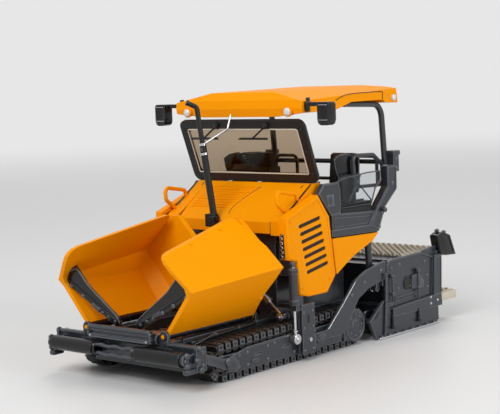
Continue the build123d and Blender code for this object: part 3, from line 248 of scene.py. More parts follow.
# %% Group: settled dust
settled_dust, entry, leave = new_group(
    "settled_dust", [("Amount", number, 0.15), ("Patch Size", number, 6 * mm)], [("Mask", number)])
place = add_node(settled_dust, "TexCoord")
facing = add_node(settled_dust, "NewGeometry")
upward = add_node(settled_dust, "SeparateXYZ")
steep = add_node(settled_dust, "MapRange", {"From Min": 0.35, "From Max": 1.0})
inverse = add_node(settled_dust, "Math", {0: 1.0}, operation="DIVIDE")
patches = add_node(settled_dust, "TexNoise", {"Detail": 6.0})
broken = add_node(settled_dust, "Math", operation="MULTIPLY")
amount = add_node(settled_dust, "Math", operation="MULTIPLY")
wire(settled_dust, (facing, "True Normal", upward, 0), (upward, "Z", steep, "Value"),
     (entry, "Patch Size", inverse, 1), (place, "Object", patches, "Vector"),
     (inverse, 0, patches, "Scale"), (steep, 0, broken, 0), (patches, "Fac", broken, 1),
     (broken, 0, amount, 0), (entry, "Amount", amount, 1), (amount, 0, leave, "Mask"))

# %% [markdown]
# Now the finishes. They all have the same skeleton, so one function builds it: soft
# edges give the normal and the edge mask, the skin gives colour with a painted highlight
# along the edges, roughness and bump, and dust is laid over both. What is the same all
# over a surface, such as the metal share or the clear coat, is set on the shader's own sockets.

# %% Finish builder
def srgb(red, green, blue):
    """A linear colour from the 0 to 255 values that a screen shows."""
    def part(value):
        share = value / 255
        return share / 12.92 if share <= 0.04045 else ((share + 0.055) / 1.055) ** 2.4
    return (part(red), part(green), part(blue), 1)


def build_finish(name, base, edge, edge_share=0.25, rough=0.4, metal=0.0, coat=0.0, tone=0.08,
                 shine=0.5, bump=0.12, dust=0.12, radius=0.16):
    """A material for one of the model's finishes. The edges' radius is in millimetres."""
    made = bpy.data.materials.new(name)
    tree = empty_tree(made)
    edges = add_node(tree, "Group", {"Radius": radius * mm, "Sharpness": 5.0 * edge_share},
                     node_tree=soft_edges)
    body = add_node(tree, "Group", {"Color": srgb(*base), "Edge Color": srgb(*edge), "Tone": tone,
                                    "Roughness": rough, "Grain Size": 0.35 * mm}, node_tree=skin)
    dusty = add_node(tree, "Group", {"Amount": dust}, node_tree=settled_dust)
    dust_colour = add_node(tree, "Mix", {"B": (0.42, 0.40, 0.37, 1)}, data_type="RGBA")
    dust_rough = add_node(tree, "Math", operation="ADD")
    relief = add_node(tree, "Bump", {"Strength": bump, "Distance": 0.1 * mm})
    shader = add_node(tree, "BsdfPrincipled", {"Metallic": metal, "Specular IOR Level": shine,
                                               "Coat Weight": coat, "Coat Roughness": 0.12})
    out = add_node(tree, "OutputMaterial")
    wire(tree, (edges, "Edge", body, "Edge"), (body, "Color", dust_colour, "A"),
         (dusty, "Mask", dust_colour, "Factor"), (dust_colour, "Result", shader, "Base Color"),
         (body, "Roughness", dust_rough, 0), (dusty, "Mask", dust_rough, 1),
         (dust_rough, 0, shader, "Roughness"), (body, "Height", relief, "Height"),
         (edges, "Normal", relief, "Normal"), (relief, "Normal", shader, "Normal"),
         (shader, 0, out, "Surface"))
    return made


# %% [markdown]
# The colours are the model's own: amber paint, a slate-like anthracite, several blacks
# that differ in gloss, bright plated metal, and a few small materials. The edge colour of
# each finish is lighter than its base: it is a painted highlight along the edges, strongest
# on the anthracite. Each is written as a screen shows it, and the builder turns it into a
# linear colour.

# %% The finishes
recipes = {
    "amber_paint": dict(base=(247, 152, 0), edge=(255, 186, 40), rough=0.46, coat=0.02, tone=0.06,
                        shine=0.05, bump=0.05, dust=0.0),
    "anthracite_paint": dict(base=(40, 44, 50), edge=(150, 156, 164), edge_share=0.9, rough=0.30,
                             coat=0.20, shine=0.45, bump=0.08, dust=0.03, radius=0.26),
    "black_plastic": dict(base=(18, 18, 20), edge=(70, 72, 75), rough=0.45, shine=0.35, bump=0.14,
                          dust=0.04),
    "gloss_black": dict(base=(9, 9, 11), edge=(104, 106, 112), rough=0.20, edge_share=0.6, coat=0.10,
                        shine=0.30, bump=0.03, dust=0.0, radius=0.22),
    "track_plastic": dict(base=(27, 24, 23), edge=(122, 116, 110), rough=0.42, edge_share=0.6,
                          shine=0.4, bump=0.18, dust=0.04),
    "flap_rubber": dict(base=(11, 11, 13), edge=(120, 122, 126), rough=0.24, edge_share=0.7, coat=0.15,
                        shine=0.35, bump=0.05, dust=0.0, radius=0.24),
    "bright_metal": dict(base=(196, 197, 200), edge=(235, 235, 238), rough=0.22, metal=1.0, bump=0.05,
                         dust=0.0, radius=0.06),
    "cream_boards": dict(base=(203, 194, 176), edge=(226, 220, 206), rough=0.55, bump=0.20, dust=0.10),
    "copper_belt": dict(base=(122, 84, 58), edge=(190, 140, 100), rough=0.42, metal=0.6, bump=0.20,
                        dust=0.15),
    "lamp_lens": dict(base=(206, 210, 214), edge=(240, 242, 244), rough=0.16, coat=0.6, bump=0.02,
                      dust=0.0),
    "seat_plastic": dict(base=(30, 31, 33), edge=(88, 90, 94), rough=0.42, bump=0.18, dust=0.08),
}
finishes = {name: build_finish(name, **recipe) for name, recipe in recipes.items()}
print("finishes:", ", ".join(finishes))

# %% [markdown]
# Two materials let light through: the windscreen is tinted brown, and the screens beside
# the seats are clear. Glass keeps plain values on its shader.

# %% Glass
def build_glass(name, tint, rough):
    """A thin clear or tinted pane."""
    made = bpy.data.materials.new(name)
    made.use_nodes = True
    shader = made.node_tree.nodes["Principled BSDF"]
    for socket, value in (("Base Color", srgb(*tint)), ("Roughness", rough),
                          ("Transmission Weight", 1.0), ("IOR", 1.2)):
        shader.inputs[socket].default_value = value
    return made


finishes["tinted_glass"] = build_glass("tinted_glass", (176, 156, 132), 0.03)
finishes["clear_panel"] = build_glass("clear_panel", (232, 236, 238), 0.05)
print("all finishes:", len(finishes))

# %% [markdown]
# The frame's nodes come with plain materials that are named for their finishes, so each
# slot is given the finish of that name.

# %% Finishes on the frame
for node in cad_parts.values():
    for slot in node.material_slots:
        slot.material = finishes[slot.material.name.split(".")[0]]
print("finished", len(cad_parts), "nodes")

# %% [markdown]
# The small pieces are modelled one at a time, each from a primitive that is shaped in
# edit mode. These helpers do what a modeller does with the mouse: leave everything
# unselected but one piece, enter edit mode on it, and pick faces by place or facing.

# %% Select and edit
def only(*things):
    """Leave edit mode and select just these pieces."""
    if bpy.context.object and bpy.context.object.mode != "OBJECT":
        bpy.ops.object.mode_set(mode="OBJECT")
    bpy.ops.object.select_all(action="DESELECT")
    for thing in things:
        thing.select_set(True)
    if things:
        bpy.context.view_layer.objects.active = things[0]


def edit(piece, action="DESELECT"):
    """Enter edit mode on one piece, with faces as what is picked."""
    only(piece)
    bpy.ops.object.mode_set(mode="EDIT")
    bpy.ops.mesh.select_mode(type="FACE")
    bpy.ops.mesh.select_all(action=action)


def pick(test):
    """Select the faces whose normal passes a test."""
    mesh = bmesh.from_edit_mesh(bpy.context.object.data)
    mesh.normal_update()
    for face in mesh.faces:
        if test(face.normal):
            face.select_set(True)
    bmesh.update_edit_mesh(bpy.context.object.data)


def as_one(*pieces):
    """Join pieces into the first of them."""
    bpy.context.view_layer.update()
    only(*pieces)
    bpy.ops.object.join()
    return bpy.context.object


# %% [markdown]
# A piece is modelled lying on the ground at the origin and then seated where it belongs.
# A place is a matrix: a plain shift, a seat on a surface with a normal, or a plane that
# carries an outline upright.

# %% Places
outward, forward, backward, upward = (1, 0, 0), (0, -1, 0), (0, 1, 0), (0, 0, 1)


def at(x, y, z):
    """A place without a turn."""
    return Matrix.Translation(Vector((x, y, z)) * mm)


def seat_on(origin, normal, up=upward):
    """A place whose own Z is the normal, and whose Y is the upward side of the surface."""
    z_axis = Vector(normal).normalized()
    x_axis = Vector(up).cross(z_axis)
    if x_axis.length < 0.001:
        x_axis = Vector((1, 0, 0))
    x_axis.normalize()
    y_axis = z_axis.cross(x_axis)
    turned = Matrix((x_axis, y_axis, z_axis)).transposed().to_4x4()
    return at(*origin) @ turned


def side_plane(x):
    """Where an outline of (y, z) points goes that faces outwards on the left."""
    return seat_on((x, 0, 0), outward)


def front_plane(y):
    """Where an outline of (x, z) points goes that faces forwards."""
    return seat_on((0, y, 0), forward)


# %% [markdown]
# Five kinds of start cover nearly all of the model's fittings, with sizes in millimetres.
# The first two are a block and a turned piece. The turned piece grows ring by ring from a
# disc, by extrusion and scaling, just as one would model a knob by hand.

# %% Blocks and turned pieces
def add_block(low, high):
    """A block between two corners."""
    only()
    centre = [(a + b) / 2 * mm for a, b in zip(low, high)]
    extent = [abs(b - a) * mm for a, b in zip(low, high)]
    bpy.ops.mesh.primitive_cube_add(size=1.0, location=centre, scale=extent)
    bpy.ops.object.transform_apply(location=True, rotation=False, scale=True)
    return bpy.context.object


def close_outwards():
    """Turn the edited piece's faces outwards and leave edit mode."""
    bpy.ops.mesh.select_all(action="SELECT")
    bpy.ops.mesh.normals_make_consistent(inside=False)
    bpy.ops.object.mode_set(mode="OBJECT")


def add_turned(steps, sides=20):
    """A round piece on the Z axis, from (radius, height) steps."""
    only()
    radius, height = steps[0]
    bpy.ops.mesh.primitive_circle_add(vertices=sides, radius=radius * mm, fill_type="NGON",
                                      location=(0, 0, height * mm))
    bpy.ops.object.transform_apply(location=True, rotation=False, scale=False)
    piece = bpy.context.object
    edit(piece, "SELECT")
    for next_radius, next_height in steps[1:]:
        rise = (0, 0, (next_height - height) * mm)
        bpy.ops.mesh.extrude_region_move(TRANSFORM_OT_translate={"value": rise})
        growth = next_radius / radius
        bpy.ops.transform.resize(value=(growth, growth, 1))
        radius, height = next_radius, next_height
    close_outwards()
    return piece


# %% [markdown]
# The other three are a flat plate, a frame with an open middle, and a bent pipe. A plate
# starts as a disc whose points are moved, and a pipe as a path that is given a thickness.

# %% Plates, frames and pipes
def draw_outline(points):
    """A filled flat outline of (x, y) points: a circle whose vertices are moved to them."""
    only()
    bpy.ops.mesh.primitive_circle_add(vertices=len(points), radius=mm, fill_type="NGON")
    piece = bpy.context.object
    for vertex, (x, y) in zip(piece.data.vertices, points):
        vertex.co = (x * mm, y * mm, 0)
    return piece


def thicken(piece, thick):
    """Give a flat piece its thickness."""
    edit(piece, "SELECT")
    bpy.ops.mesh.extrude_region_move(TRANSFORM_OT_translate={"value": (0, 0, thick * mm)})
    close_outwards()
    return piece


def add_outline(points, thick):
    """A plate with this outline."""
    return thicken(draw_outline(points), thick)


def add_frame(points, border, thick):
    """A plate with this outline and an open middle, border wide all round."""
    piece = draw_outline(points)
    edit(piece, "SELECT")
    bpy.ops.mesh.inset(thickness=border * mm, depth=0)
    bpy.ops.mesh.delete(type="FACE")
    bpy.ops.object.mode_set(mode="OBJECT")
    return thicken(piece, thick)


def add_pipe(points, radius):
    """A round pipe that bends smoothly near the inner points of its route."""
    only()
    bpy.ops.curve.primitive_nurbs_path_add()
    piece = bpy.context.object
    piece.data.splines.clear()
    route = piece.data.splines.new("NURBS")
    route.points.add(len(points) - 1)
    for point, stop in zip(route.points, points):
        point.co = (*[value * mm for value in stop], 1)
    route.order_u = 3
    route.use_endpoint_u = True
    route.resolution_u = 6
    piece.data.bevel_depth = radius * mm
    piece.data.bevel_resolution = 3
    piece.data.use_fill_caps = True
    bpy.ops.object.convert(target="MESH")
    return bpy.context.object


# %% [markdown]
# Cast and moulded parts have no knife edges, so nearly every piece gets a small bevel.
# A recess is an inset face that is pushed in, a raised middle one that is pulled out, and
# a tapered piece has a top face that is made smaller.

# %% Shape a piece
def soften(piece, width, segments=2):
    """Round a piece's edges."""
    only(piece)
    rounding_off = piece.modifiers.new("rounding_off", "BEVEL")
    rounding_off.width = width * mm
    rounding_off.segments = segments
    rounding_off.limit_method = "ANGLE"
    rounding_off.angle_limit = radians(28)
    bpy.ops.object.modifier_apply(modifier=rounding_off.name)
    return piece


def sink(piece, facing, border, depth):
    """Push in the faces that look this way, and leave a border round them."""
    edit(piece)
    pick(lambda normal: normal.dot(Vector(facing)) > 0.9)
    bpy.ops.mesh.inset(thickness=border * mm, depth=0)
    bpy.ops.mesh.inset(thickness=0.08 * mm, depth=-depth * mm)
    bpy.ops.object.mode_set(mode="OBJECT")
    return piece


def raise_top(piece, border, height):
    """Lift the middle of a piece's top face."""
    edit(piece)
    pick(lambda normal: normal.z > 0.9)
    bpy.ops.mesh.inset(thickness=border * mm, depth=height * mm)
    bpy.ops.object.mode_set(mode="OBJECT")
    return piece


def resize(piece, across, along):
    """Stretch what is selected of the edited piece, and leave edit mode."""
    bpy.ops.transform.resize(value=(across, along, 1))
    bpy.ops.object.mode_set(mode="OBJECT")
    return piece


def taper(piece, across, along):
    """Make a piece's top face smaller."""
    edit(piece)
    pick(lambda normal: normal.z > 0.9)
    return resize(piece, across, along)


def flatten_round(piece, across, along):
    """Stretch a round piece to an oval."""
    edit(piece, "SELECT")
    return resize(piece, across, along)


# %% [markdown]
# What repeats is modelled once. The copies are joined to one mesh, so that a row of bolts
# is one piece. A bolt is a round head on a washer.

# %% Copies and bolts
def copies_of(pattern, places):
    """One mesh with a copy of the pattern at each place."""
    copies = []
    for place_of_copy in places:
        copy = pattern.copy()
        copy.data = pattern.data.copy()
        scene.collection.objects.link(copy)
        copy.matrix_world = place_of_copy
        copies.append(copy)
    bpy.data.objects.remove(pattern)
    return as_one(*copies)


def add_bolts(spots, radius):
    """Bolt heads on washers at (place, normal) spots."""
    head = add_turned([(radius * 1.4, -0.05), (radius * 1.4, radius * 0.3), (radius, radius * 0.35),
                       (radius * 0.92, radius * 0.85), (radius * 0.5, radius * 1.1)], 8)
    return copies_of(head, [seat_on(spot, normal) for spot, normal in spots])


# %% [markdown]
# When a piece is done it is hung: its place goes into its mesh, and it gets a name, a
# finish and the body it moves with. Most fittings are anthracite and sit on the tractor,
# so that is what the helpers do when nothing else is said. Pieces that come in pairs name
# a pair of bodies: the wings, the end gates, the push beam or the tow arms of the screed.

# %% Hang a piece
wings = ("wing_left", "wing_right")
gates = ("extension_left", "extension_right")
beam = ("push_beam", "push_beam")
arms = ("screed", "screed")


def hang(piece, name, place=None, finish="anthracite_paint", body="tractor"):
    """Put a finished piece in its place on a body."""
    only(piece)
    if place is not None:
        piece.matrix_world = place
        bpy.context.view_layer.update()
    bpy.ops.object.transform_apply(location=True, rotation=True, scale=True)
    bpy.ops.object.shade_smooth_by_angle(angle=radians(35))
    piece.name = name
    piece.data.name = name
    piece.data.materials.clear()
    piece.data.materials.append(finishes[finish])
    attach(piece, body)
    print(name, "on", body)


def hang_pair(piece, name, place=None, finish="anthracite_paint", bodies=("tractor", "tractor")):
    """Hang a piece on the left and its mirror image on the right."""
    hang(piece, f"{name}_left", place, finish, bodies[0])
    twin = piece.copy()
    twin.data = piece.data.copy()
    scene.collection.objects.link(twin)
    twin.data.transform(Matrix.Scale(-1, 4, (1, 0, 0)))
    twin.data.flip_normals()
    hang(twin, f"{name}_right", None, finish, bodies[1])


# %% [markdown]
# Many fittings differ only in where they sit, so a pair of plain blocks, pipes, plates,
# rims or sets of bolts is one call. Plates, rims and bolts face outwards, and their
# outlines and spots are (y, z) points on a side plane at x.

# %% Pairs of plain fittings
def hang_block(name, low, high, width, segments=2, **hanging):
    """A pair of softened blocks."""
    hang_pair(soften(add_block(low, high), width, segments), name, **hanging)


def hang_pipe(name, points, radius, **hanging):
    """A pair of pipes."""
    hang_pair(add_pipe(points, radius), name, **hanging)


def hang_plate(name, x, points, thick, width, segments=2, **hanging):
    """A pair of softened plates."""
    hang_pair(soften(add_outline(points, thick), width, segments), name, side_plane(x), **hanging)


def hang_rim(name, x, points, border, thick, width, **hanging):
    """A pair of softened rims."""
    hang_pair(soften(add_frame(points, border, thick), width), name, side_plane(x), **hanging)


def hang_bolts(name, radius, x, spots, **hanging):
    """A pair of sets of bolts."""
    hang_pair(add_bolts([((x, y, z), outward) for y, z in spots], radius), name, **hanging)


# %% [markdown]
# The track's shoes are plain blocks in the frame. On the model each shoe has a pad with
# two bolts on its outside, and its end is a hollow square. Their places follow the
# loop's formula: two straight runs and an arc round each wheel.

# %% Places along the track
idler_y, sprocket_y = -47.6, 11.2
idler_reach, sprocket_reach = 2.5, 3.2     # from the wheels' centres to the loop's inside
shoe_top = 2.75                            # from the loop's inside to the shoes' outside
shoe_count, shoe_share = 46, 0.66
track_outer_x, shoe_width = 24.5, 6.1
track_lean = atan2(sprocket_reach - idler_reach, sprocket_y - idler_y)
run = sprocket_y - idler_y
sprocket_arc = (pi + 2 * track_lean) * sprocket_reach
loop_length = 2 * run + sprocket_arc + (pi - 2 * track_lean) * idler_reach
shoe_pitch = loop_length / shoe_count
print("shoe pitch", round(shoe_pitch, 2), "mm")


def on_track(distance, height):
    """The (y, z) point and the outward direction at a distance along the track."""
    s = distance % loop_length
    centre, reach = (sprocket_y, sprocket_reach + shoe_top), sprocket_reach
    if s < run:
        return (idler_y + s, shoe_top - height), (0, -1)
    s -= run
    turn = s / sprocket_reach - pi / 2
    along = 0
    if sprocket_arc <= s < sprocket_arc + run:
        turn = pi / 2 + 2 * track_lean
        along = s - sprocket_arc
    elif s >= sprocket_arc + run:
        centre, reach = (idler_y, idler_reach + shoe_top), idler_reach
        turn = (s - sprocket_arc - run) / idler_reach + pi / 2 + 2 * track_lean
    out = (cos(turn), sin(turn))
    point = (centre[0] + out[0] * (reach + height) - along * cos(2 * track_lean),
             centre[1] + out[1] * (reach + height) - along * sin(2 * track_lean))
    return point, out


# %% [markdown]
# Every shoe gets a hollow end. Pads and bolts go only where they can be seen, so the run
# that lies on the ground has none. They are plain shapes, because they repeat so often.

# %% Pads, bolts and hollow ends of the shoes
pad_length = shoe_share * shoe_pitch - 0.35
shoe_x = track_outer_x - shoe_width / 2
pads, pad_bolts, hollow_ends = [], [], []
for shoe in range(shoe_count):
    middle_of_shoe = (shoe + shoe_share / 2) * shoe_pitch
    (y, z), (out_y, out_z) = on_track(middle_of_shoe, shoe_top)
    if z > 3.4:
        pads.append(seat_on((shoe_x, y, z), (0, out_y, out_z), (0, -out_z, out_y)))
        for bolt_x in (1.1, 2.2):
            pad_bolts.append(((shoe_x + bolt_x, y + 0.2 * out_y, z + 0.2 * out_z), (0, out_y, out_z)))
    (y, z), (out_y, out_z) = on_track(middle_of_shoe, shoe_top - 0.95)
    hollow_ends.append(seat_on((track_outer_x - 0.05, y, z), outward, (0, out_y, out_z)))
pad = add_block((-2.6, -pad_length / 2, -0.05), (2.6, pad_length / 2, 0.16))
hang_pair(copies_of(pad, pads), "shoe_pads", finish="track_plastic")
hang_pair(add_bolts(pad_bolts, 0.24), "shoe_bolts", finish="track_plastic")
rim_half = pad_length / 2 + 0.05
shoe_end = sink(add_block((-rim_half, -0.75, 0), (rim_half, 0.75, 0.22)), upward, 0.24, 0.18)
hang_pair(copies_of(shoe_end, hollow_ends), "shoe_ends")
print(len(pads), "pads on a track")

# %% [markdown]
# The track frame's side plate carries rows of bolts, two flat oval pads and, at the front,
# an arm and a folded guard that reach round the end of the track.

# %% Track frame fittings
hang_bolts("frame_bolts", 0.3, 25.2, (
    (-42.6, 4.4), (-41.0, 6.4), (-37.6, 6.7), (-37.6, 3.2), (-29.0, 7.0), (-29.0, 3.2), (-26.0, 7.2),
    (-17.4, 7.4), (-17.4, 3.2), (-7.6, 7.4), (-7.6, 3.2), (1.0, 3.4)))
hang_plate("front_arms", 25.0, [(-54.2, 6.3), (-54.2, 9.0), (-47.3, 6.6), (-44.4, 6.6), (-43.0, 3.4),
                                (-44.8, 2.6), (-47.4, 3.6)], 0.5, 0.12)
guard = add_outline([(-47.2, 5.6), (-46.6, 6.5), (-44.2, 7.1), (-41.8, 4.7), (-41.4, 3.4), (-43.6, 2.2),
                     (-46.2, 3.0)], 0.45)
hang_pair(soften(raise_top(guard, 0.7, 0.25), 0.1), "track_guards", side_plane(25.45))
oval = flatten_round(add_turned([(0.95, 0), (0.95, 0.3), (0.7, 0.4)], 20), 1.7, 0.7)
ovals = [seat_on((25.2, y, z), outward) for y, z in ((-34.4, 3.9), (-5.2, 4.2))]
hang_pair(copies_of(oval, ovals), "oval_pads")
hang_plate("frame_ledges", 25.1, [(-42.0, 7.3), (-38.0, 8.2), (-11.0, 8.8), (-11.0, 8.2), (-38.0, 7.6),
                                  (-42.0, 6.7)], 0.25, 0.08)

# %% [markdown]
# The drive cover is a flat round case. It gets a raised rim, a hub and a ring of bolts.

# %% Drive covers
cover_x, cover_y, cover_z = 25.3, 11.8, 5.95
cover_place = seat_on((cover_x, cover_y, cover_z), outward)
hang_pair(add_turned([(4.8, -0.1), (4.8, 0.12), (4.4, 0.2), (4.2, 0.05)], 40), "cover_rims", cover_place)
hub = add_turned([(1.9, 0), (1.9, 0.12), (1.5, 0.25), (1.5, 0.34), (0.9, 0.42)], 28)
hang_pair(hub, "cover_hubs", cover_place)
hang_bolts("cover_bolts", 0.28, cover_x + 0.05, [
    (cover_y + 3.2 * cos(step * pi / 4), cover_z + 3.2 * sin(step * pi / 4)) for step in range(8)])

# %% [markdown]
# The apron is one channel bar with another below it. The upper bar has round ends that
# turn down. Two lugs carry the apron, each with a black ring round its pin.

# %% Apron
front_y = -61.8
upper_bar = add_pipe([(-11.9, front_y, 12.4), (-11.9, front_y, 14.7), (-11.0, front_y, 15.0),
                      (11.0, front_y, 15.0), (12.0, front_y, 14.7), (12.0, front_y, 11.9)], 0.42)
hang(upper_bar, "apron_bar", body="apron")
channel = add_block((-11.4, front_y - 0.35, 14.3), (11.4, -59.9, 14.95))
hang(soften(channel, 0.18, 3), "apron_channel", body="apron")
lower_bar = add_block((-11.6, front_y - 0.45, 11.7), (11.6, front_y + 0.3, 12.7))
hang(soften(sink(lower_bar, forward, 0.25, 0.15), 0.12), "apron_lower_bar", body="apron")
apron_bolts = add_bolts([((x, front_y - 0.42, 12.2), forward) for x in (-10.9, 10.9)], 0.26)
hang(apron_bolts, "apron_bolts", finish="bright_metal", body="apron")
lug_spot = seat_on((15.0, -59.75, 13.7), forward)
lug_ring = add_turned([(1.15, 0), (1.15, 0.2), (0.98, 0.35), (0.7, 0.35), (0.62, 0.1)], 24)
hang_pair(lug_ring, "lug_rings", lug_spot, "gloss_black")
hang_pair(add_turned([(0.6, 0.02), (0.6, 0.2), (0.4, 0.32)], 14), "lug_pins", lug_spot, "amber_paint")

# %% [markdown]
# Behind the apron, under the rubber flaps, lies a copper-brown plate on which the
# conveyors end.

# %% Front plate of the conveyors
front_plate = raise_top(add_block((-13.2, -58.4, 13.1), (13.2, -55.2, 13.8)), 0.5, 0.12)
hang(soften(front_plate, 0.1), "front_plate", finish="copper_belt")
hang(soften(add_block((-12.6, -56.4, 12.2), (12.6, -54.4, 13.2)), 0.1), "front_plate_foot")

# %% [markdown]
# The push beam carries a round bar along its top, knobs on its brackets, and two wavy
# links between the rollers' inner brackets. They are stubby castings on the model, so
# every edge is round.

# %% Push beam fittings
hang_pipe("beam_top_bars", [(16.0, -59.0, 11.6), (26.6, -59.0, 11.6)], 0.62, bodies=beam)
knob = add_turned([(0.55, 0), (0.85, 0.12), (0.9, 0.55), (0.7, 0.95), (0.35, 1.1)], 16)
knobs = [seat_on(spot, outward) for spot in (
    (26.9, -59.0, 11.6), (26.0, -62.9, 10.2), (27.0, -60.0, 8.6), (26.0, -62.9, 7.4), (27.0, -58.6, 5.9))]
hang_pair(copies_of(knob, knobs), "beam_knobs", bodies=beam)
hang_block("beam_lumps", (25.0, -63.6, 5.1), (27.0, -59.4, 6.6), 0.55, 4, bodies=beam)
for side, side_name in ((1, "upper"), (-1, "lower")):
    waves = [(x, -63.7, 9.1 + side * (1.15 + 0.22 * sin(x * 1.15 + side))) for x in range(-8, 9)]
    hang(add_pipe(waves, 0.42), f"link_{side_name}", body="push_beam")
collar = add_turned([(1.5, 0), (1.85, 0.1), (1.95, 0.5), (1.75, 0.95), (1.2, 1.0)], 24)
hang_pair(collar, "roller_collars", seat_on((7.0, -62.95, 9.0), outward), "gloss_black", beam)
small_knob = add_turned([(0.5, 0), (0.55, 0.3), (0.35, 0.6), (0.15, 0.68)], 14)
small_knobs = [seat_on((x, -63.9, z), forward) for x in (-7.6, 7.6) for z in (8.2, 10.0)]
hang(copies_of(small_knob, small_knobs), "link_knobs", body="push_beam")
hang_bolts("beam_bolts", 0.3, 27.2, ((-57.6, 10.4), (-57.6, 7.0), (-59.4, 7.4)), bodies=beam)

# %% [markdown]
# Each roller is closed by a round cap at both ends, which turns with it.

# %% Roller caps
for roller, side in (("roller_left", 1), ("roller_right", -1)):
    cap = add_turned([(1.8, -0.1), (1.8, 0.08), (1.5, 0.18), (0.8, 0.2)], 24)
    caps = [seat_on((side * x, -62.95, 9.0), (side * facing, 0, 0)) for x, facing in ((24.75, 1), (8.45, -1))]
    hang(copies_of(cap, caps), f"{roller}_caps", None, "gloss_black", roller)

# %% [markdown]
# A rubber flap closes the front of each wing. It is held by a strip with six bolts and
# has a moulded lip along its free edge. A small bracket sits half-way down the strip.
# The bolts, the lip and the bracket are anthracite rather than the flap's black: a painted
# highlight where they catch the light.

# %% Flap fittings
front_y = -58.0
flap_bolts = add_bolts([((x, front_y, z), forward) for x, z in (
    (22.3, 24.6), (17.6, 22.0), (13.4, 19.7), (10.0, 18.0), (7.4, 17.0), (4.9, 15.8))], 0.46)
hang_pair(flap_bolts, "flap_bolts", bodies=wings)
hang_pipe("flap_lips", [(x, front_y, z) for x, z in (
    (25.4, 26.9), (20.3, 30.4), (17.8, 27.9), (15.8, 25.5), (9.6, 21.1), (3.8, 17.0), (3.3, 15.5))],
          0.26, bodies=wings)
flap_strip = add_outline([(24.6, 26.4), (24.0, 26.9), (4.2, 16.3), (4.3, 15.4)], 0.3)
hang_pair(soften(flap_strip, 0.1), "flap_strips", front_plane(front_y + 0.05), "gloss_black", wings)
bracket = taper(add_block((-1.6, -0.8, 0), (1.6, 0.8, 0.8)), 0.7, 0.6)
hang_pair(soften(bracket, 0.2, 3), "flap_brackets", seat_on((11.6, front_y, 19.0), forward, (-0.45, 0, 0.9)),
          bodies=wings)

# %% [markdown]
# The wings have a few fittings of their own: two small hooks near the top edge outside,
# two round bosses in the lower rear corner, and a ringed sleeve round the hinge.

# %% Wing fittings
hook = soften(add_block((-0.55, -0.25, -0.1), (0.55, 0.25, 0.35)), 0.1)
hooks = [seat_on(spot, (0.74, 0, 0.67)) for spot in ((17.1, -49.8, 37.5), (15.3, -36.0, 39.8))]
hang_pair(copies_of(hook, hooks), "wing_hooks", None, "amber_paint", wings)
boss = add_turned([(0.75, -0.1), (0.75, 0.25), (0.55, 0.45), (0.3, 0.5)], 18)
bosses = [seat_on(spot, (0.75, 0, -0.66)) for spot in ((20.2, -25.6, 19.4), (17.5, -25.0, 16.6))]
hang_pair(copies_of(boss, bosses), "wing_bosses", None, "amber_paint", wings)
steps = [(1.02, -58.3), (1.12, -58.2)]
for y in (-52.0, -44.0, -36.0, -28.0):
    steps += [(1.12, y), (1.2, y + 0.1), (1.2, y + 1.0), (1.12, y + 1.1)]
steps += [(1.12, -24.3), (1.02, -24.2)]
sleeve = add_turned([(radius, -y) for radius, y in reversed(steps)], 20)
hang_pair(sleeve, "hinge_sleeves", seat_on((15.0, 0, 13.7), forward), "gloss_black", wings)

# %% [markdown]
# Along each side of the hopper, between the hinge and the track, runs a dark pipe with
# clamps, and a thinner line joins it at the front. They are moulded with the chassis.

# %% Pipes beside the hopper
hang_pipe("side_pipes", [(18.2, -52.6, 11.0), (18.2, -44.0, 11.6), (18.2, -24.6, 12.3)], 0.5,
          finish="gloss_black")
hang_pipe("thin_pipes", [(17.8, -53.0, 10.0), (18.6, -50.4, 10.7), (18.7, -46.0, 11.6), (18.2, -42.4, 12.3)],
          0.17)
clamp = soften(add_block((-0.75, -0.55, -0.5), (0.75, 0.55, 0.5)), 0.2, 3)
clamps = [at(17.9, y, z) for y, z in ((-51.8, 11.0), (-42.6, 11.7), (-33.0, 12.0), (-25.4, 12.3))]
hang_pair(copies_of(clamp, clamps), "pipe_clamps")

# %% [markdown]
# The wing rams are plated. The pin at each ram's foot ends in a bright disc, and two
# bright bands go round the barrel.

# %% Ram pins and bands
disc = add_turned([(1.15, 0), (1.25, 0.08), (1.25, 0.3), (1.05, 0.38), (0.55, 0.4), (0.5, 0.7),
                   (0.3, 0.78)], 24)
hang_pair(disc, "ram_discs", seat_on((22.3, -19.85, 13.2), forward), "bright_metal")
ram_top = Vector((11.2, -18.3, 22.0))
ram_run = Vector((22.3 - 11.2, 0, 13.2 - 22.0)).normalized()
for ram, side in (("ram_barrel_left", 1), ("ram_barrel_right", -1)):
    band = add_turned([(1.0, 0), (1.14, 0.1), (1.14, 0.6), (1.0, 0.7)], 20)
    bands = []
    for spot in (ram_top + ram_run * 7.4, ram_top + ram_run * 2.0):
        bands.append(seat_on((side * spot.x, spot.y, spot.z), (side * ram_run.x, 0, ram_run.z), backward))
    hang(copies_of(band, bands), f"{ram}_bands", None, "bright_metal", ram)

# %% [markdown]
# The hood is a sloping lid. Its machine-right part is a field of thin louvre ribs that
# ends at a diagonal seam, and a dark seam and a black strip of painted shadow set off each
# corner block. A helper turns a place on the lid, given across and as a share of the way
# up, into a point in space.

# %% Places on the hood
hood_low = Vector((0, -17.5, 39.9))
hood_crest = Vector((0, -3.0, 49.8))
hood_normal = Vector((0, -0.564, 0.826))
hood_upward = Vector((0, 0.826, 0.564))


def on_hood(x, share, proud=0.0):
    """A point on the hood's slope."""
    return hood_low.lerp(hood_crest, share) + Vector((x, 0, 0)) + hood_normal * proud


# %% [markdown]
# Every rib is a flat bar across the hood, and it ends where the seam crosses it. Beside
# each corner block lie two thin strips that taper: a seam, and further out a strip of
# painted shadow for the gap between the hood and the side panel. The handles stand on
# round feet.

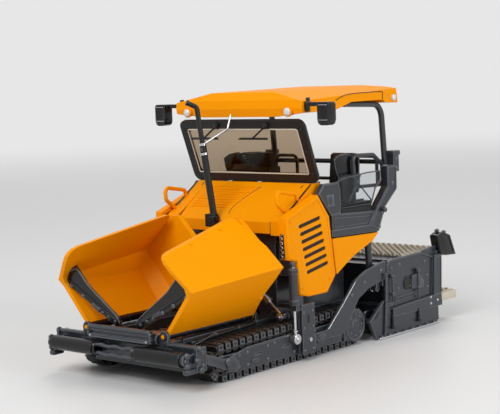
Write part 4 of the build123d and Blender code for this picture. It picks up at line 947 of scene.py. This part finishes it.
# %% Ribs, seams and handle feet
def hood_strip(start, end, width_start, width_end, name, finish):
    """A thin tapering strip between two (x, share, proud) places on the hood."""
    first, last = on_hood(*start), on_hood(*end)
    length = (last - first).length
    piece = add_outline([(-width_start / 2, 0), (width_start / 2, 0), (width_end / 2, length),
                         (-width_end / 2, length)], 0.07)
    hang_pair(piece, name, seat_on(first, hood_normal, last - first), finish)


rib_count = 9
ribs = []
for rib in range(rib_count):
    share = 0.32 + 0.54 * rib / (rib_count - 1)
    seam_x = -2.2 + (share - 0.32) * 11.4
    piece = add_block((-16.6, -0.2, -0.05), (seam_x - 0.5, 0.2, 0.26))
    piece.matrix_world = seat_on(on_hood(0, share), hood_normal, hood_upward)
    ribs.append(soften(piece, 0.08))
hang(as_one(*ribs), "hood_ribs", finish="amber_paint")
seam = [on_hood(0.4, 0.16), on_hood(-1.9, 0.32), on_hood(4.4, 0.88)]
hang(add_pipe(seam, 0.1), "hood_seam", finish="black_plastic")
ridge = [on_hood(0.9, 0.16), on_hood(-1.4, 0.32), on_hood(4.9, 0.88)]
hang(add_pipe(ridge, 0.16), "hood_ridge", finish="amber_paint")
hood_strip((18.1, 0.04, 0.0), (19.6, 0.95, 0.0), 0.26, 0.4, "corner_seams", "black_plastic")
# The outer strips are painted shadow: black where the gap between the hood and the side panel lies in shade.
hood_strip((22.3, 0.04, 0.38), (22.4, 0.97, 0.05), 0.9, 0.4, "gap_shadow_strips", "gloss_black")
hang_pair(add_block((18.3, -17.95, 36.3), (18.48, -17.4, 40.2)), "front_seams", finish="black_plastic")
crest_bit = soften(add_block((-0.8, -0.35, -0.1), (0.8, 0.35, 0.3)), 0.12)
crest_bits = [seat_on((x, -2.2, 49.8), upward, backward) for x in (-9.8, 2.0)]
hang(copies_of(crest_bit, crest_bits), "crest_hinges", finish="bright_metal")
foot = add_turned([(0.95, -0.3), (0.95, 0.15), (0.7, 0.35)], 16)
feet = [seat_on((21.9, y, z), hood_normal, hood_upward) for y, z in ((-14.1, 42.4), (-9.3, 45.2))]
hang_pair(copies_of(foot, feet), "handle_feet", finish="amber_paint")

# %% [markdown]
# Between the hood's corner and the side panel a bright ribbed strip stands in front of
# the dark core. Short bars on a flat strip, tipped to and fro, give its zigzag look.

# %% Ribbed strip
hang_block("ribbed_strips", (23.25, -19.65, 29.9), (24.45, -18.9, 37.0), 0.12, finish="gloss_black")
bar = soften(add_block((-0.55, -0.16, -0.14), (0.55, 0.16, 0.14)), 0.08)
bars = [at(23.85, -19.7, 30.2 + step * 0.65) @ Matrix.Rotation(radians(24 if step % 2 else -24), 4, "Y")
        for step in range(11)]
hang_pair(copies_of(bar, bars), "strip_bars", finish="bright_metal")

# %% [markdown]
# The side panels have a raised border and screws at their corners. The fenders' lower
# edge is turned out a little.

# %% Side panels and fenders
panel_outline = [(-4.8, 46.5), (-19.4, 41.3), (-18.8, 29.8), (-15.0, 29.0), (-14.3, 19.2), (-10.2, 18.2),
                 (-1.8, 18.2), (2.4, 22.6), (1.0, 33.3), (0.2, 40.0)]
hang_rim("panel_borders", 25.4, panel_outline, 0.75, 0.3, 0.1, finish="amber_paint")
hang_bolts("panel_bolts", 0.26, 25.5, ((-6.4, 44.4), (-17.4, 40.2), (-13.0, 20.6), (-0.4, 22.0)),
           finish="amber_paint")
hang_pipe("fender_edges", [(25.6, 24.0, 32.6), (25.6, 21.4, 30.4), (25.6, 11.4, 27.6), (25.6, 3.1, 22.9)],
          0.26, finish="amber_paint")

# %% [markdown]
# The slots of the louvres read black from outside, so a dark filling lies behind each.
# One filling is drawn as an outline with round ends and repeated down the panel.

# %% Dark fillings of the louvres
def round_ended(length, height, steps=6):
    """The outline of a slot with round ends."""
    reach = height / 2
    points = []
    for side in (1, -1):
        for step in range(steps + 1):
            angle = pi * step / steps - pi / 2
            points.append((side * (length / 2 - reach + reach * cos(angle)), side * reach * sin(angle)))
    return points


louvre_top, louvre_pitch, louvre_drift = (-8.7, 39.3), 2.25, 0.5
fillings = []
for slot in range(7):
    shift = at(louvre_top[0] + slot * louvre_drift, louvre_top[1] - slot * louvre_pitch, 0)
    fillings.append(side_plane(24.6) @ shift @ Matrix.Rotation(radians(10), 4, "Z"))
filling = add_outline(round_ended(10.1, 1.05), 0.6)
hang_pair(copies_of(filling, fillings), "louvre_fillings", finish="gloss_black")

# %% [markdown]
# The tow point: the guide rail has a folded top and screws, and the levelling cylinder a
# collar at the top and the bottom, a plated rod and a large eye.

# %% Guide rails and levelling cylinders
hang_block("rail_caps", (25.15, -16.0, 15.7), (27.45, -10.0, 16.5), 0.3, 3)
hang_bolts("rail_bolts", 0.27, 27.3, [(y, z) for z in (14.2, 9.6, 3.2) for y in (-15.0, -11.0)])
hang_plate("rail_slots", 27.2, [(-13.7, 10.8), (-12.2, 10.8), (-12.2, 13.4), (-13.7, 13.4)], 0.12, 0.3, 3,
           finish="gloss_black")
cylinder = add_turned([(1.2, 16.6), (1.42, 16.8), (1.42, 18.0), (1.25, 18.2), (1.25, 25.6), (1.45, 25.8),
                       (1.45, 26.9), (1.2, 27.2), (0.8, 27.3)], 28)
hang_pair(cylinder, "level_cylinders", at(26.3, -18.0, 0))
rod = add_turned([(0.42, 6.6), (0.42, 8.8), (0.8, 9.0), (0.8, 9.5), (0.46, 9.7), (0.46, 15.0)], 16)
hang_pair(rod, "level_rods", at(26.3, -18.0, 0), "bright_metal")
eye = add_turned([(1.3, -1.1), (1.55, -0.9), (1.55, 0.9), (1.3, 1.1), (0.7, 1.1), (0.6, 1.4),
                  (0.35, 1.5)], 24)
hang_pair(eye, "level_eyes", seat_on((26.3, -18.0, 7.0), outward), "bright_metal")
top_eye = add_turned([(0.7, -0.5), (0.85, -0.4), (0.85, 0.4), (0.7, 0.5)], 20)
hang_pair(top_eye, "level_top_eyes", seat_on((26.3, -18.0, 28.3), outward))

# %% [markdown]
# The tow arms are cast plates with a thick rounded upper edge. A pale line runs along the
# edge of the straight part: a thin bright metal pipe that is a painted highlight on the
# rounded edge.

# %% Tow arms
arm_route = [(-3.4, 7.3), (-1.0, 9.3), (5.0, 14.3), (10.4, 19.4), (13.6, 21.2), (17.5, 22.2), (25.3, 23.5)]
hang_pipe("arm_edges", [(26.62, y, z) for y, z in arm_route], 0.32, bodies=arms)
# This bright pipe is a painted highlight along the arm's upper edge.
hang_pipe("arm_edge_highlights", [(26.9, -3.3, 7.5), (26.9, -1.0, 9.4), (26.9, 5.0, 14.4), (26.9, 10.3, 19.3)], 0.14,
          finish="bright_metal", bodies=arms)
arm_pad = flatten_round(add_turned([(0.95, 0), (0.95, 0.25), (0.7, 0.36)], 20), 1.8, 0.75)
hang_pair(arm_pad, "arm_pads", seat_on((26.8, -6.6, 6.0), outward), bodies=arms)
hang_bolts("arm_bolts", 0.4, 26.85, ((-12.6, 6.1), (8.6, 15.6), (15.0, 18.6), (23.6, 21.0)), bodies=arms)

# %% [markdown]
# The driver's stand is dark from floor to rails. Its side plates and lower panels have
# raised rims, and the places where a maker would put a badge are left bare.

# %% Stand's side plates and posts
hang_rim("side_plate_rims", 25.22, [(-3.6, 46.9), (-1.3, 49.4), (5.5, 49.4), (6.4, 47.2), (6.2, 40.4),
                                    (2.0, 40.2)], 0.32, 0.22, 0.08)
hang_plate("bare_badges", 25.25, [(0.4, 42.8), (3.4, 42.8), (3.2, 46.2), (0.2, 46.2)], 0.14, 0.06)
hang_rim("lower_panel_rims", 24.95, [(2.8, 35.2), (2.8, 40.2), (24.2, 39.0), (20.5, 34.8)], 0.3, 0.2, 0.08)
hang_rim("panel_strip_rims", 24.95, [(3.7, 36.2), (3.4, 37.8), (3.9, 39.2), (19.6, 38.2), (20.6, 37.0),
                                     (20.2, 35.9)], 0.26, 0.22, 0.08)
hang_rim("post_rims", 25.45, [(21.0, 35.0), (25.1, 40.4), (30.7, 46.1), (30.7, 52.2), (35.2, 52.2),
                              (35.0, 45.1), (28.6, 40.2), (25.0, 33.4)], 0.4, 0.25, 0.1)
hang_block("post_clamps", (22.7, 33.6, 55.4), (25.9, 37.2, 56.9), 0.3, 3)
hang_bolts("post_bolts", 0.42, 25.5, ((35.4, 51.4), (35.4, 54.4), (33.0, 47.0), (27.2, 38.4)))
post_knob = add_turned([(0.3, 0), (0.3, 0.4), (0.75, 0.6), (0.8, 1.1), (0.5, 1.4)], 16)
hang_pair(post_knob, "post_knobs", seat_on((25.4, 27.5, 39.3), outward))

# %% [markdown]
# The stand rests on a black beam over each fender, which closes the gap between them.
# Clear screens fill the openings beside the seats. Each has a grey rim, and two flat
# struts cross behind it.

# %% Beams, screens and boxes of the stand
hang_block("under_beams", (20.2, 3.6, 32.2), (24.9, 25.4, 34.4), 0.2, finish="black_plastic")
hang_rim("screen_rims", 23.75, [(7.0, 41.4), (7.0, 49.8), (10.9, 50.5), (21.5, 51.2), (28.5, 51.3),
                                (28.6, 48.1), (26.0, 46.1), (23.7, 41.4)], 0.34, 0.5, 0.08)
struts = as_one(add_pipe([(23.3, 12.0, 41.6), (23.3, 19.4, 50.6)], 0.22),
                add_pipe([(23.3, 24.6, 42.4), (23.3, 15.6, 50.4)], 0.22))
hang_pair(struts, "screen_struts")
box = sink(add_block((22.0, 8.0, 38.6), (24.4, 23.2, 42.6)), outward, 0.4, 0.2)
hang_pair(soften(box, 0.3, 3), "stand_boxes", finish="black_plastic")

# %% [markdown]
# The seats are moulded: a cushion on its box, a back, and outside each seat a large dark
# pad with a light rim that shields the driver. These are hard plastic on the model, with
# soft corners, so bevels of several segments do for them.

# %% Seats
hang_block("seat_cushions", (13.5, 11.6, 43.3), (20.9, 16.3, 44.7), 0.55, 4, finish="seat_plastic")
back_pad = add_outline([(14.0, 44.6), (20.4, 44.6), (20.8, 47.0), (20.4, 55.2), (19.2, 56.6), (15.2, 56.6),
                        (14.0, 55.2), (13.6, 47.0)], 0.8)
hang_pair(soften(back_pad, 0.3, 4), "seat_backs", seat_on((0, 16.9, 0.6), (0, -1, 0.12)), "seat_plastic")
shield = [(8.5, 56.0), (10.9, 57.1), (15.0, 57.4), (16.9, 56.8), (19.1, 53.3), (19.4, 50.8), (10.5, 49.8),
          (9.0, 53.1)]
hang_plate("seat_shields", 21.15, shield, 0.6, 0.22, 3, finish="gloss_black")
hang_rim("shield_rims", 21.6, shield, 0.38, 0.3, 0.1)
hang_block("arm_rests", (20.7, 12.4, 49.8), (21.9, 21.4, 50.9), 0.4, 4, finish="seat_plastic")
stick = add_turned([(0.5, 0), (0.35, 0.3), (0.22, 0.5), (0.22, 1.3), (0.5, 1.6), (0.55, 2.1),
                    (0.3, 2.5)], 14)
hang_pair(stick, "joysticks", at(21.3, 13.6, 50.7), "black_plastic")

# %% [markdown]
# On the dashboard stand a screen, a row of switches, levers and a small steering wheel.
# Through the windscreen only their outlines show.

# %% Dashboard fittings
screen = sink(add_block((-2.0, -0.4, 0), (2.0, 0.5, 3.0)), backward, 0.3, 0.12)
hang(soften(screen, 0.18), "dash_screen", at(-9.2, 8.6, 53.8), "black_plastic")
switch = add_turned([(0.42, 0), (0.42, 0.2), (0.3, 0.5), (0.16, 0.55)], 10)
switches = [seat_on((x, 10.4, 53.75), (0, 0.35, 1), backward)
            for x in (-15.8, -14.6, -6.2, -5.0, -3.8, -2.6)]
hang(copies_of(switch, switches), "dash_switches", finish="gloss_black")
lever = add_turned([(0.3, 0), (0.18, 0.2), (0.18, 1.8), (0.45, 2.0), (0.45, 2.6), (0.25, 2.9)], 12)
levers = [seat_on((x, 9.4, 53.9), (0.1, 0.2, 1), backward) for x in (-12.0, -6.9)]
hang(copies_of(lever, levers), "dash_levers", finish="black_plastic")
only()
bpy.ops.mesh.primitive_torus_add(major_radius=2.3 * mm, minor_radius=0.32 * mm, major_segments=32,
                                 minor_segments=10)
wheel_rim = bpy.context.object
wheel_hub = add_turned([(0.4, -2.2), (0.4, -0.3), (0.9, -0.2), (0.9, 0.1), (0.6, 0.2)], 16)
spoke = soften(add_block((-2.2, -0.22, -0.15), (2.2, 0.22, 0.05)), 0.08)
hang(as_one(wheel_rim, wheel_hub, spoke), "steering_wheel",
     seat_on((-13.4, 11.0, 55.4), (0, 0.45, 0.9), backward), "seat_plastic")

# %% [markdown]
# The floor of the stand is a ribbed rubber mat. One rib is modelled and an Array modifier
# repeats it.

# %% Floor mat
mat_rib = add_block((-12.4, 12.4, 35.15), (12.4, 12.9, 35.6))
repeat = mat_rib.modifiers.new("repeat", "ARRAY")
repeat.use_relative_offset = False
repeat.use_constant_offset = True
repeat.constant_offset_displace = (0, 1.0 * mm, 0)
repeat.count = 15
only(mat_rib)
bpy.ops.object.modifier_apply(modifier=repeat.name)
hang(soften(mat_rib, 0.1), "floor_mat", finish="black_plastic")

# %% [markdown]
# The windscreen's pane sits in a frame with a light inner line. The line is a thin pipe
# along the pane's edge, whose corners are drawn tight by a point on either side of each.
# The wipers get their pivots and blades, and small screws hold the frame.

# %% Windscreen fittings
screen_low = Vector((0, -1.2, 50.2))
screen_up = Vector((0, -6.9, 18.8)).normalized()
screen_out = Vector((0, -18.8, -6.9)).normalized()
screen_length = hypot(6.9, 18.8)


def on_screen(x, up, proud=1.0):
    """A point on the windscreen, up from its lower edge."""
    return screen_low + Vector((x, 0, 0)) + screen_up * up + screen_out * proud


half, low, high = 21.5, 2.9, screen_length - 2.9
route = [on_screen(x, up) for x, up in ((0, low), (-half, low), (-half, high), (half, high), (half, low),
                                        (0, low))]
corners = [route[0]]
for corner in range(1, 5):
    before = route[corner].lerp(route[corner - 1], 0.06)
    after = route[corner].lerp(route[corner + 1], 0.06)
    corners += [before, route[corner], after]
corners.append(route[5])
hang(add_pipe(corners, 0.2), "pane_seal", finish="cream_boards")
pivot = add_turned([(0.85, 0), (0.85, 0.3), (0.55, 0.5), (0.3, 0.6)], 16)
pivots = [seat_on(on_screen(x, screen_length - 1.6, 1.4), screen_out) for x in (-9.0, 10.5)]
hang(copies_of(pivot, pivots), "wiper_pivots", finish="gloss_black")
blade = add_block((-5.6, -0.16, 0), (5.6, 0.16, 0.45))
blades = [seat_on(on_screen(x, screen_length - 5.8, 1.3), screen_out) for x in (-15.2, 4.3)]
hang(copies_of(blade, blades), "wiper_blades", finish="gloss_black")
screws = [(on_screen(x, up), screen_out) for x in (-23.0, 23.0) for up in (3.0, 10.0, 17.0)]
hang(add_bolts(screws, 0.26), "frame_screws", finish="black_plastic")

# %% [markdown]
# Round the roof: a dark seam sets off the flange along each side, black straps hold the
# mirror arms, and the lamps have domed lenses in shallow rims.

# %% Roof fittings
hang_pipe("roof_seams", [(24.72, y, z) for y, z in (
    (6.6, 73.6), (9.6, 74.7), (13.7, 75.3), (29.6, 75.35), (30.2, 75.2), (30.2, 74.6), (30.1, 72.9))],
          0.13, finish="black_plastic")
hang_block("roof_straps", (24.55, -7.4, 70.9), (24.95, -5.8, 75.0), 0.12, finish="gloss_black")
lens = add_turned([(1.15, -0.1), (1.2, 0.1), (1.05, 0.3), (0.75, 0.5), (0.3, 0.62)], 24)
hang_pair(lens, "front_lenses", seat_on((19.7, -10.1, 71.1), forward), "lamp_lens")
lamp_rim = add_turned([(1.5, -0.6), (1.5, -0.05), (1.35, 0.1), (1.15, 0.1)], 24)
hang_pair(lamp_rim, "lamp_rims", seat_on((19.7, -9.95, 71.1), forward), "amber_paint")
side_lens = add_turned([(1.0, -0.1), (1.0, 0.1), (0.8, 0.3), (0.4, 0.4)], 24)
hang_pair(side_lens, "side_lenses", seat_on((25.1, 35.8, 73.2), outward), "lamp_lens")
liner = sink(add_block((-22.6, -5.6, 72.6), (22.6, 13.6, 73.0)), (0, 0, -1), 1.6, 0.2)
hang(soften(liner, 0.1), "roof_liner", finish="black_plastic")

# %% [markdown]
# The mirrors are deep black housings with round corners. The frame's plain blocks are
# replaced by softened ones of the same size, with a recess in front and a bright glass
# behind. A mirrored outline turns inside out, so its faces are turned out again.

# %% Mirrors
mirror_parts = []
for side in (-1, 1):
    head = add_outline([(30.0, 73.7), (33.6, 73.7), (34.1, 73.1), (34.1, 68.6), (33.7, 67.5), (32.9, 67.1),
                        (31.2, 67.1), (30.3, 67.5), (29.9, 68.6), (29.9, 72.6)], 3.4)
    head.matrix_world = Matrix.Scale(side, 4, (1, 0, 0)) @ front_plane(-5.8)
    bpy.context.view_layer.update()
    only(head)
    bpy.ops.object.transform_apply(location=True, rotation=True, scale=True)
    edit(head, "SELECT")
    close_outwards()
    arm = add_block((side * 24.75, -8.1, 72.5), (side * 30.2, -6.9, 73.7))
    foot = add_block((side * 24.75, -8.4, 71.0), (side * 25.6, -6.6, 73.9))
    mirror_parts += [soften(sink(head, forward, 0.4, 0.2), 0.22, 3), soften(arm, 0.2, 3),
                     soften(foot, 0.2, 3)]
mirror_housings = as_one(*mirror_parts)
edit(mirror_housings, "SELECT")
close_outwards()
hang(mirror_housings, "mirror_housings", finish="gloss_black")
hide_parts("mirrors")
beads = [add_pipe([(30.4, -9.2, z), (33.6, -9.2, z)], 0.12) for z in (72.9, 68.6)]
hang_pair(as_one(*beads), "mirror_beads", finish="bright_metal")
glass = soften(add_outline([(-1.7, -2.8), (1.7, -2.8), (1.7, 2.8), (-1.7, 2.8)], 0.15), 0.06)
hang_pair(glass, "mirror_glasses", seat_on((32.0, -5.82, 70.4), backward), "bright_metal")

# %% [markdown]
# The exhaust stack is two tubes, a wide one at the foot and a thinner one above it. Two
# rings and a lug mark the joint, the tip is flared and open, and a round boot covers the
# foot.

# %% Exhaust stack fittings
stack_foot = Vector((-2.3, -18.6, 39.9))
stack_run = Vector((-3.1, -0.4, 22.2)).normalized()
ring = add_turned([(0.8, 0), (1.16, 0.08), (1.16, 0.75), (0.8, 0.85)], 24)
rings = [seat_on(stack_foot + stack_run * reach, stack_run, backward) for reach in (22.0, 19.2)]
hang(copies_of(ring, rings), "stack_rings", finish="bright_metal")
lug = soften(add_block((-0.4, 0.8, -0.5), (0.4, 1.7, 0.5)), 0.15)
hang(lug, "stack_lug", seat_on(stack_foot + stack_run * 20.9, stack_run, (0.3, -1, 0)))
flare = add_turned([(0.74, -0.9), (0.8, -0.4), (0.95, 0.05), (0.82, 0.08), (0.62, -0.5)], 24)
tip = stack_foot + Vector((-6.5, -3.0, 34.7))
hang(flare, "stack_tip", seat_on(tip, (-1.9, -2.3, 1.5)), "gloss_black")
boot = add_turned([(1.0, 0), (1.5, 0.2), (1.6, 1.4), (1.1, 2.0), (1.02, 2.2)], 24)
hang(boot, "stack_boot", seat_on(stack_foot - stack_run * 0.4, stack_run, backward), "gloss_black")

# %% [markdown]
# The end gates are the busiest part of the screed: a plate with a thick rounded rim, two
# threaded spindles with knobs, a sloping beam with bright bolts, and a skid with a flange.

# %% End gates
face = 26.5
hang_pipe("gate_rims", [(face, y, z) for y, z in (
    (27.1, 12.0), (27.1, 21.2), (27.3, 22.4), (28.6, 23.2), (38.8, 23.5), (44.8, 23.7), (46.4, 23.4),
    (52.2, 21.5))], 0.42, bodies=gates)
hang_pipe("gate_front_posts", [(27.5, 25.3, 20.0), (27.5, 25.1, 11.0), (27.5, 24.0, 1.0)], 0.36,
          bodies=gates)
hang_block("post_holders", (26.6, 24.9, 9.6), (27.9, 28.0, 10.8), 0.2, 3, bodies=gates)
spindle = add_turned([(0.36, 0), (0.36, 2.4), (0.62, 2.6), (0.62, 3.4), (0.36, 3.6), (0.36, 8.0),
                      (0.75, 8.2), (0.8, 8.9), (0.45, 9.4)], 14)
hang_pair(copies_of(spindle, [at(27.35, y, 9.8) for y in (28.9, 43.0)]), "gate_spindles", bodies=gates)
low_spindle = add_turned([(0.9, 0), (0.95, 0.5), (0.4, 0.7), (0.4, 4.2)], 14)
hang_pair(copies_of(low_spindle, [at(27.5, y, 2.4) for y in (28.2, 42.4)]), "skid_spindles", None,
          "gloss_black", gates)
disc = add_turned([(2.1, 0), (2.1, 0.25), (1.7, 0.4), (1.5, 0.25)], 28)
hang_pair(disc, "gate_discs", seat_on((face, 38.0, 15.1), outward), "gloss_black", gates)
hang_plate("gate_brackets", face, [(39.9, 17.2), (43.6, 17.8), (46.4, 14.9), (46.2, 12.6), (39.6, 13.0)],
           0.75, 0.25, 3, bodies=gates)
hang_rim("gate_slots", 26.45, [(30.9, 10.2), (31.0, 11.7), (41.9, 11.9), (41.8, 10.6)], 0.32, 0.35, 0.1,
         bodies=gates)
hang_bolts("gate_bolts", 0.34, 27.6, ((49.3, 9.0), (53.2, 7.6), (49.4, 7.0)), finish="bright_metal",
           bodies=gates)
hang_bolts("plate_bolts", 0.36, face, (
    (29.6, 20.8), (34.0, 21.4), (33.0, 14.0), (47.8, 20.6), (49.2, 16.0), (49.2, 12.4)), bodies=gates)
hang_pipe("gate_beam_edges", [(27.5, 28.8, 8.3), (27.5, 42.0, 8.9), (27.5, 55.4, 9.4)], 0.24, bodies=gates)

# %% [markdown]
# In front of each gate a sloping blade has a slot and a rounded edge. Below the gate runs
# the skid's bright flange with its bolts, and a post with a rim and a cap stands behind.

# %% Blades, skids and rear posts of the gates
hang_plate("blade_slots", 27.05, [(19.6, 6.4), (19.3, 7.1), (21.6, 9.0), (22.0, 8.3)], 0.12, 0.05,
           finish="gloss_black", bodies=gates)
hang_pipe("blade_edges", [(27.0, 17.0, 6.1), (27.0, 20.6, 8.7), (27.0, 24.4, 11.4)], 0.24, bodies=gates)
hang_block("skid_flanges", (26.9, 20.6, 0.05), (28.1, 53.2, 0.7), 0.2, 3, finish="bright_metal",
           bodies=gates)
skid_bolts = add_bolts([((27.6, 22.4 + step * 4.1, 0.68), upward) for step in range(8)], 0.32)
hang_pair(skid_bolts, "skid_bolts", bodies=gates)
hang_rim("gate_post_rims", 27.35, [(51.9, 9.4), (52.6, 21.2), (53.4, 21.6), (56.3, 21.6), (55.8, 9.4)],
         0.34, 0.25, 0.1, bodies=gates)
hang_block("gate_post_caps", (25.6, 52.6, 21.4), (27.5, 56.6, 22.2), 0.25, 3, bodies=gates)

# %% [markdown]
# A sloping arm carries the control box at the gate's rear top corner. The box is black,
# with a ridged frame, round knobs on top, and switches on the side that the worker sees.

# %% Control boxes
hang_plate("box_arms", 25.7, [(44.6, 23.4), (47.5, 24.4), (56.6, 25.0), (56.6, 23.2), (52.4, 21.8)], 0.5,
           0.15, bodies=gates)
housing = [(54.0, 28.2), (57.0, 29.2), (61.2, 27.7), (64.4, 21.0), (58.0, 21.4), (55.6, 22.4)]
hang_plate("control_housings", 24.4, housing, 3.2, 0.5, 4, finish="gloss_black", bodies=gates)
for side_name in ("left", "right"):
    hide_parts(f"control_box_{side_name}")
hang_rim("box_frames", 27.5, housing, 0.8, 0.3, 0.12, finish="gloss_black", bodies=gates)
hang_block("box_holders", (25.4, 54.6, 21.8), (26.6, 57.6, 23.2), 0.15, bodies=gates)
knob = add_turned([(0.45, -0.2), (0.5, 0.3), (0.75, 0.45), (0.75, 0.9), (0.45, 1.15)], 14)
knobs = [seat_on((26.0, y, z), (0, -0.2, 1), backward) for y, z in ((56.4, 28.9), (60.3, 28.0))]
hang_pair(copies_of(knob, knobs), "box_knobs", bodies=gates)
button = add_turned([(0.45, -0.05), (0.45, 0.2), (0.3, 0.3)], 12)
buttons = [seat_on((24.42, 58.4 + column * 1.4, 23.4 + row * 1.4), (-1, 0, 0))
           for row in range(3) for column in range(3)]
hang_pair(copies_of(button, buttons), "box_buttons", bodies=gates)

# %% [markdown]
# The screed itself: plates with bolts along its front and rear, a panel with a handle on
# each housing, and heavy edges on the cream boards.

# %% Screed fittings
front_bolts = [((x, 27.6, z), forward) for z in (2.2, 7.6) for x in (-21, -14, -7, 7, 14, 21)]
hang(add_bolts(front_bolts, 0.4), "screed_front_bolts", body="screed")
board_edge = add_block((-23.5, 63.3, 21.9), (23.5, 64.1, 23.1))
hang(soften(board_edge, 0.2), "deck_edge", None, "cream_boards", "screed")
rear_bolts = [((x, 56.0, z), backward) for z in (1.6, 5.4) for x in (3.0, 9.0, 15.0, 21.0)]
hang_pair(add_bolts(rear_bolts, 0.38), "shoe_rear_bolts", bodies=gates)
panel = soften(add_frame([(13.0, 10.6), (24.4, 10.6), (24.4, 19.4), (13.0, 19.4)], 0.5, 0.3), 0.12)
hang_pair(panel, "housing_panels", seat_on((0, 54.95, 0), backward) @ Matrix.Scale(-1, 4, outward),
          bodies=gates)
hang_pipe("housing_grips", [(15.0, 55.0, 17.4), (15.0, 56.4, 17.6), (22.4, 56.4, 17.6), (22.4, 55.0, 17.4)],
          0.34, finish="black_plastic", bodies=gates)
hang_block("walk_edges", (1.0, 64.3, 6.7), (27.0, 65.0, 9.2), 0.2, finish="cream_boards", bodies=gates)
hang_block("walk_sides", (26.4, 56.3, 6.7), (27.2, 65.0, 9.2), 0.2, finish="cream_boards", bodies=gates)

# %% [markdown]
# The cream boards are chequered with chunky studs, so that nobody slips on them. One stud
# is modelled and copied in rows, each row half a step further along than the last. The
# boards' own boxes say where the rows go.

# %% Studs on the boards
def add_studs(board, end_margin):
    """Studs with slanted flanks in staggered rows over a board."""
    low, high = [[value / mm for value in corner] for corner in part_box(board)]
    print(board, "from", [round(value, 1) for value in low], "to", [round(value, 1) for value in high])
    low_x, high_x = low[0] + 0.6, high[0] - 0.6
    low_y, high_y = low[1] + end_margin, high[1] - end_margin
    step_x, step_y = 2.3, 1.25
    spots = []
    for row in range(int((high_y - low_y) / step_y)):
        first_x = low_x + (step_x / 2 if row % 2 else 0.0)
        for column in range(int((high_x - first_x) / step_x)):
            spots.append(at(first_x + (column + 0.5) * step_x, low_y + (row + 0.5) * step_y, high[2]))
    stud = taper(add_block((-0.62, -0.42, -0.1), (0.62, 0.42, 0.45)), 0.72, 0.66)
    return copies_of(stud, spots)


hang(add_studs("screed_deck", 0.5), "deck_studs", None, "cream_boards", "screed")
hang_pair(add_studs("rear_walk_left", 0.4), "walk_studs", None, "cream_boards", gates)
